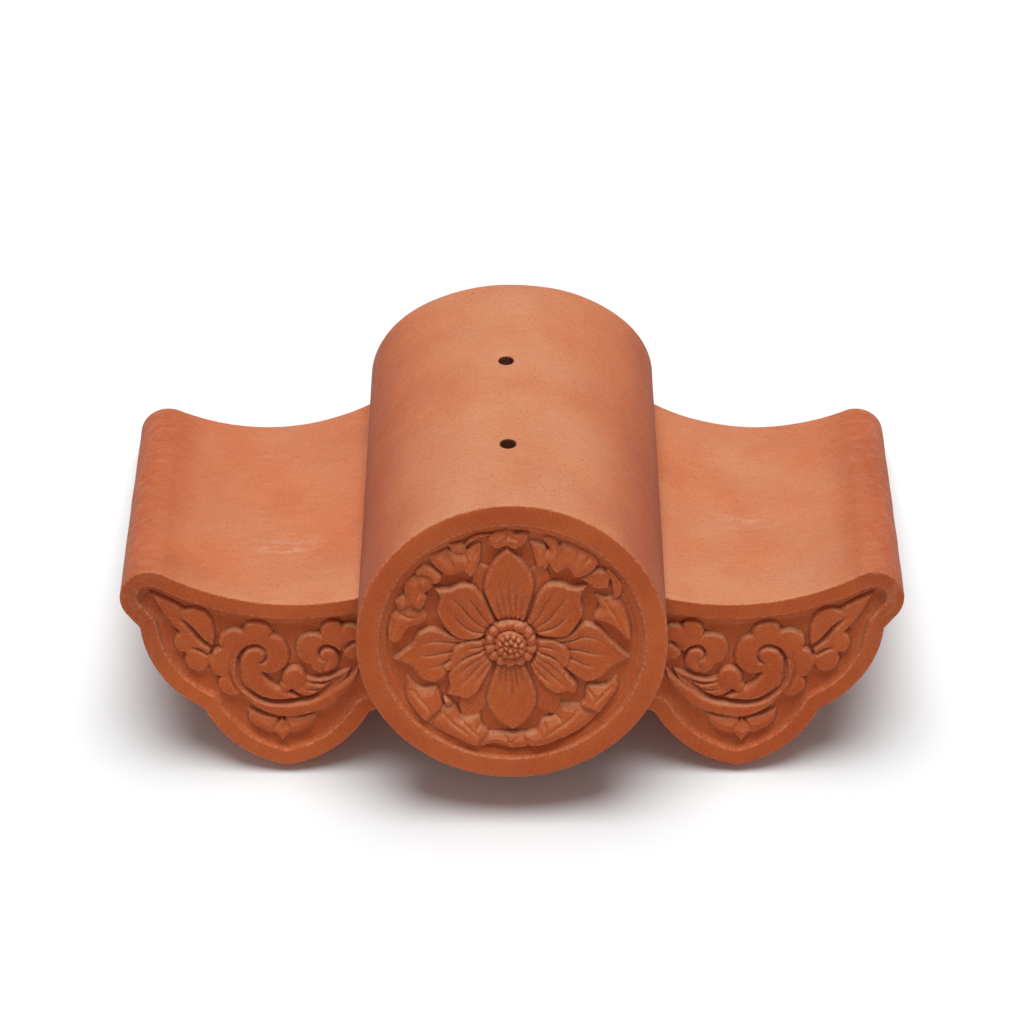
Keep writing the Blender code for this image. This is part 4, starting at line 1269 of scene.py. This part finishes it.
def fired_terracotta(name, batch, dust_and_sheen):
    """Unglazed terracotta. The batch number gives a tile its own clouds, and dust_and_sheen its pale dust and
    painted sheen.
    """
    material = bpy.data.materials.new(name)
    material.use_nodes = True
    tree = material.node_tree
    shader = tree.nodes["Principled BSDF"]
    for field, value in TERRACOTTA.items():
        shader.inputs[field].default_value = value
    node = partial(add_node, tree)

    def clouds(size_mm, detail=3.0, stretch=(1, 1, 1)):
        place = node("Mapping", {"Vector": roof, "Location": (BATCH_SHIFT * batch, 0, 0), "Scale": stretch})
        return node("TexNoise", {"Vector": place, "Scale": 1 / size_mm, "Detail": detail})

    def share(*ranges):
        """How much of a layer shows: each value moved from one range to another, all multiplied."""
        result = None
        for value, low, high, out_low, out_high in ranges:
            part = node("MapRange", {"Value": value, "From Min": low, "From Max": high,
                                     "To Min": out_low, "To Max": out_high})
            result = part if result is None else node("Math", {0: result, 1: part}, operation="MULTIPLY")
        return result

    def worn_patch(middle, size):
        place = node("Mapping", {"Vector": roof, "Location": middle, "Scale": size}, vector_type="TEXTURE")
        reach = node("VectorMath", {0: place}, 1, operation="LENGTH")
        return (reach, 0.2, 1.0, 1, 0), (clouds(5, 5.0, (0.6, 1, 1)), 0.45, 0.65, 0, 0.5)

    roof = node("Attribute", {}, 1, attribute_name="roof")
    crest = node("Attribute", {}, 2, attribute_name="crest")
    hollow = node("Attribute", {}, 2, attribute_name="hollow")
    shelter = node("Attribute", {}, 2, attribute_name="shelter")
    facing = node("NewGeometry", {}, 1)
    facing_up = node("SeparateXYZ", {0: facing}, 2)
    sideways = node("Math", {0: node("SeparateXYZ", {0: facing}, 0)}, operation="ABSOLUTE")
    from_middle = node("Math", {0: node("SeparateXYZ", {0: roof}, 0)}, operation="ABSOLUTE")
    up_roof = node("SeparateXYZ", {0: roof}, 1)

    layers = [
        # The fired colour drifts, pale dust with a painted sheen lies on what faces up, painted shade greys
        # the faces that turn sideways, and the outer lips are bare and painted darker as shade.
        ((clouds(45), 0.35, 0.65, 0, 1), "#C75E2A"),
        ((clouds(9), 0.35, 0.7, 0, 0.3), "#AE4A20"),
        # Pale dust, also a painted sheen of the light from above: on what faces up, thinner up the roof, on
        # the outer lips and on the recess walls.
        ((clouds(40, 5.0, (1, 0.6, 1)), 0.35, 0.65, 0.5, 0.9), (facing_up, 0.5, 1.0, 0, 1),
         (from_middle, *RUBBED_AND_SHADED_LIPS, dust_and_sheen, 0.1), (up_roof, *DUST_AND_SHEEN_FRONT, 1.25, 0.95),
         (shelter, 0, 1, 1, 0), "#CC8F69"),
        # Painted shade: faces that turn sideways are greyed darker.
        ((sideways, 0.6, 1.0, 0, 0.45), "#8E5B43"),
        # Painted shade on the outer lips.
        ((from_middle, *RUBBED_AND_SHADED_LIPS, 0, 0.3), "#8E442A"),
        # The smoothing cloth's streaks, and pale spots where the lips and the pans are worn.
        ((clouds(2.0, 4.0, (0.15, 1, 1)), 0.5, 0.75, 0, 0.14), (facing_up, 0.3, 0.9, 0, 1), "#E0A888"),
        ((from_middle, *WORN_LIPS, 0, 1), (clouds(5, 6.0), 0.48, 0.8, 0, 0.3), "#CF9C84"),
        *((*worn_patch(middle, size), "#D9A48C") for middle, size in SCUFFS),
        # Rubbed crests with a painted highlight, paler shallow hollows, and painted shade in the deepest cuts
        # and in the nail holes.
        # Crests rubbed pale, partly a painted highlight.
        ((crest, 0, 1, 0, 1), (clouds(1.8), 0.44, 0.62, 0.04, 0.5), "#E6A07A"),
        # Paler in the shallow hollows.
        ((hollow, 0.02, 0.4, 0, 1), (clouds(7), 0.35, 0.65, 0.14, 0.34), "#D08458"),
        # Painted shade in the deep cuts.
        ((hollow, 0.45, 1.0, 0, 0.45), "#6E2A0E"),
        # Painted shade in the nail holes.
        ((hollow, 1.0, 2.0, 0, 0.9), "#35130A"),
        # Pale and dark grains of sand, drawn coarser than real ones so that they show.
        ((clouds(0.8, 3.0), 0.45, 0.7, 0, 0.26), "#D2845A"),
        ((clouds(1.0, 2.0), 0.56, 0.7, 0, 0.4), "#8A3C1A"),
    ]
    colour = linear(FIRED_CLAY)
    for *ranges, tint in layers:
        colour = node("Mix", {0: share(*ranges), 6: colour, 7: linear(tint)}, 2, data_type="RGBA")
    tree.links.new(colour, shader.inputs["Base Color"])

    tree.links.new(share((clouds(6), 0.3, 0.7, 0.72, 0.9)), shader.inputs["Roughness"])
    grain = node("Bump", {"Height": clouds(0.8, 2.0), "Strength": 0.5, "Distance": 0.15 * MM})
    bump = node("Bump", {"Height": clouds(5.0, 3.0), "Strength": 0.6, "Distance": 0.35 * MM, "Normal": grain})
    tree.links.new(bump, shader.inputs["Normal"])
    return material


for batch, (node_name, tile) in enumerate(TILES.items()):
    slot_name = node_name.replace("_tile", "_terracotta")
    tile.data.materials.clear()
    tile.data.materials.append(fired_terracotta(slot_name, batch, DUST_AND_SHEEN[node_name]))
    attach(tile, "root")
    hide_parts(node_name)
    print(f"{node_name}: {slot_name}, {len(tile.data.materials[0].node_tree.nodes)} nodes")

# %% [markdown]
# ## A white floor under a soft overhead light
# The floor is plain and pale. A wide sun almost straight overhead stands for a ceiling of soft
# boxes: it lights the tops, leaves the upright faces mostly to the light that the floor throws
# back, and puts a soft shadow below the tiles. A faint even sky keeps the shadow open.

# %% Light the set
FLOOR_SIZE = 8  # metres
SUN_STRENGTH, SUN_SPREAD, SUN_TILT = 3.0, 42, -6
SKY_STRENGTH = 0.25


def matt_paint(name, colour):
    paint = bpy.data.materials.new(name)
    paint.use_nodes = True
    shader = paint.node_tree.nodes["Principled BSDF"]
    shader.inputs["Base Color"].default_value = linear(colour)
    shader.inputs["Roughness"].default_value = 0.9
    return paint


def stage_floor():
    mesh = bpy.data.meshes.new("floor")
    half = FLOOR_SIZE / 2
    corners = [(x * half, y * half, 0) for x, y in ((-1, -1), (1, -1), (1, 1), (-1, 1))]
    mesh.from_pydata(corners, [], [(0, 1, 2, 3)])
    mesh.materials.append(matt_paint("floor_paint", "#EFF2F3"))
    floor = bpy.data.objects.new("floor", mesh)
    bpy.context.scene.collection.objects.link(floor)


def soft_sun(name, strength, spread_degrees, tilt_degrees):
    sun = bpy.data.objects.new(name, bpy.data.lights.new(name, "SUN"))
    sun.data.energy = strength
    sun.data.angle = math.radians(spread_degrees)
    sun.rotation_euler = [math.radians(t) for t in tilt_degrees]
    bpy.context.scene.collection.objects.link(sun)


stage_floor()
soft_sun("ceiling_light", SUN_STRENGTH, SUN_SPREAD, (SUN_TILT, 0, 0))
world = bpy.data.worlds.new("studio")
world.use_nodes = True
world.node_tree.nodes["Background"].inputs["Color"].default_value = linear("#FFFFFF")
world.node_tree.nodes["Background"].inputs["Strength"].default_value = SKY_STRENGTH
bpy.context.scene.world = world
print(f"a sun of {SUN_STRENGTH} over {SUN_SPREAD} degrees and a sky of {SKY_STRENGTH}")
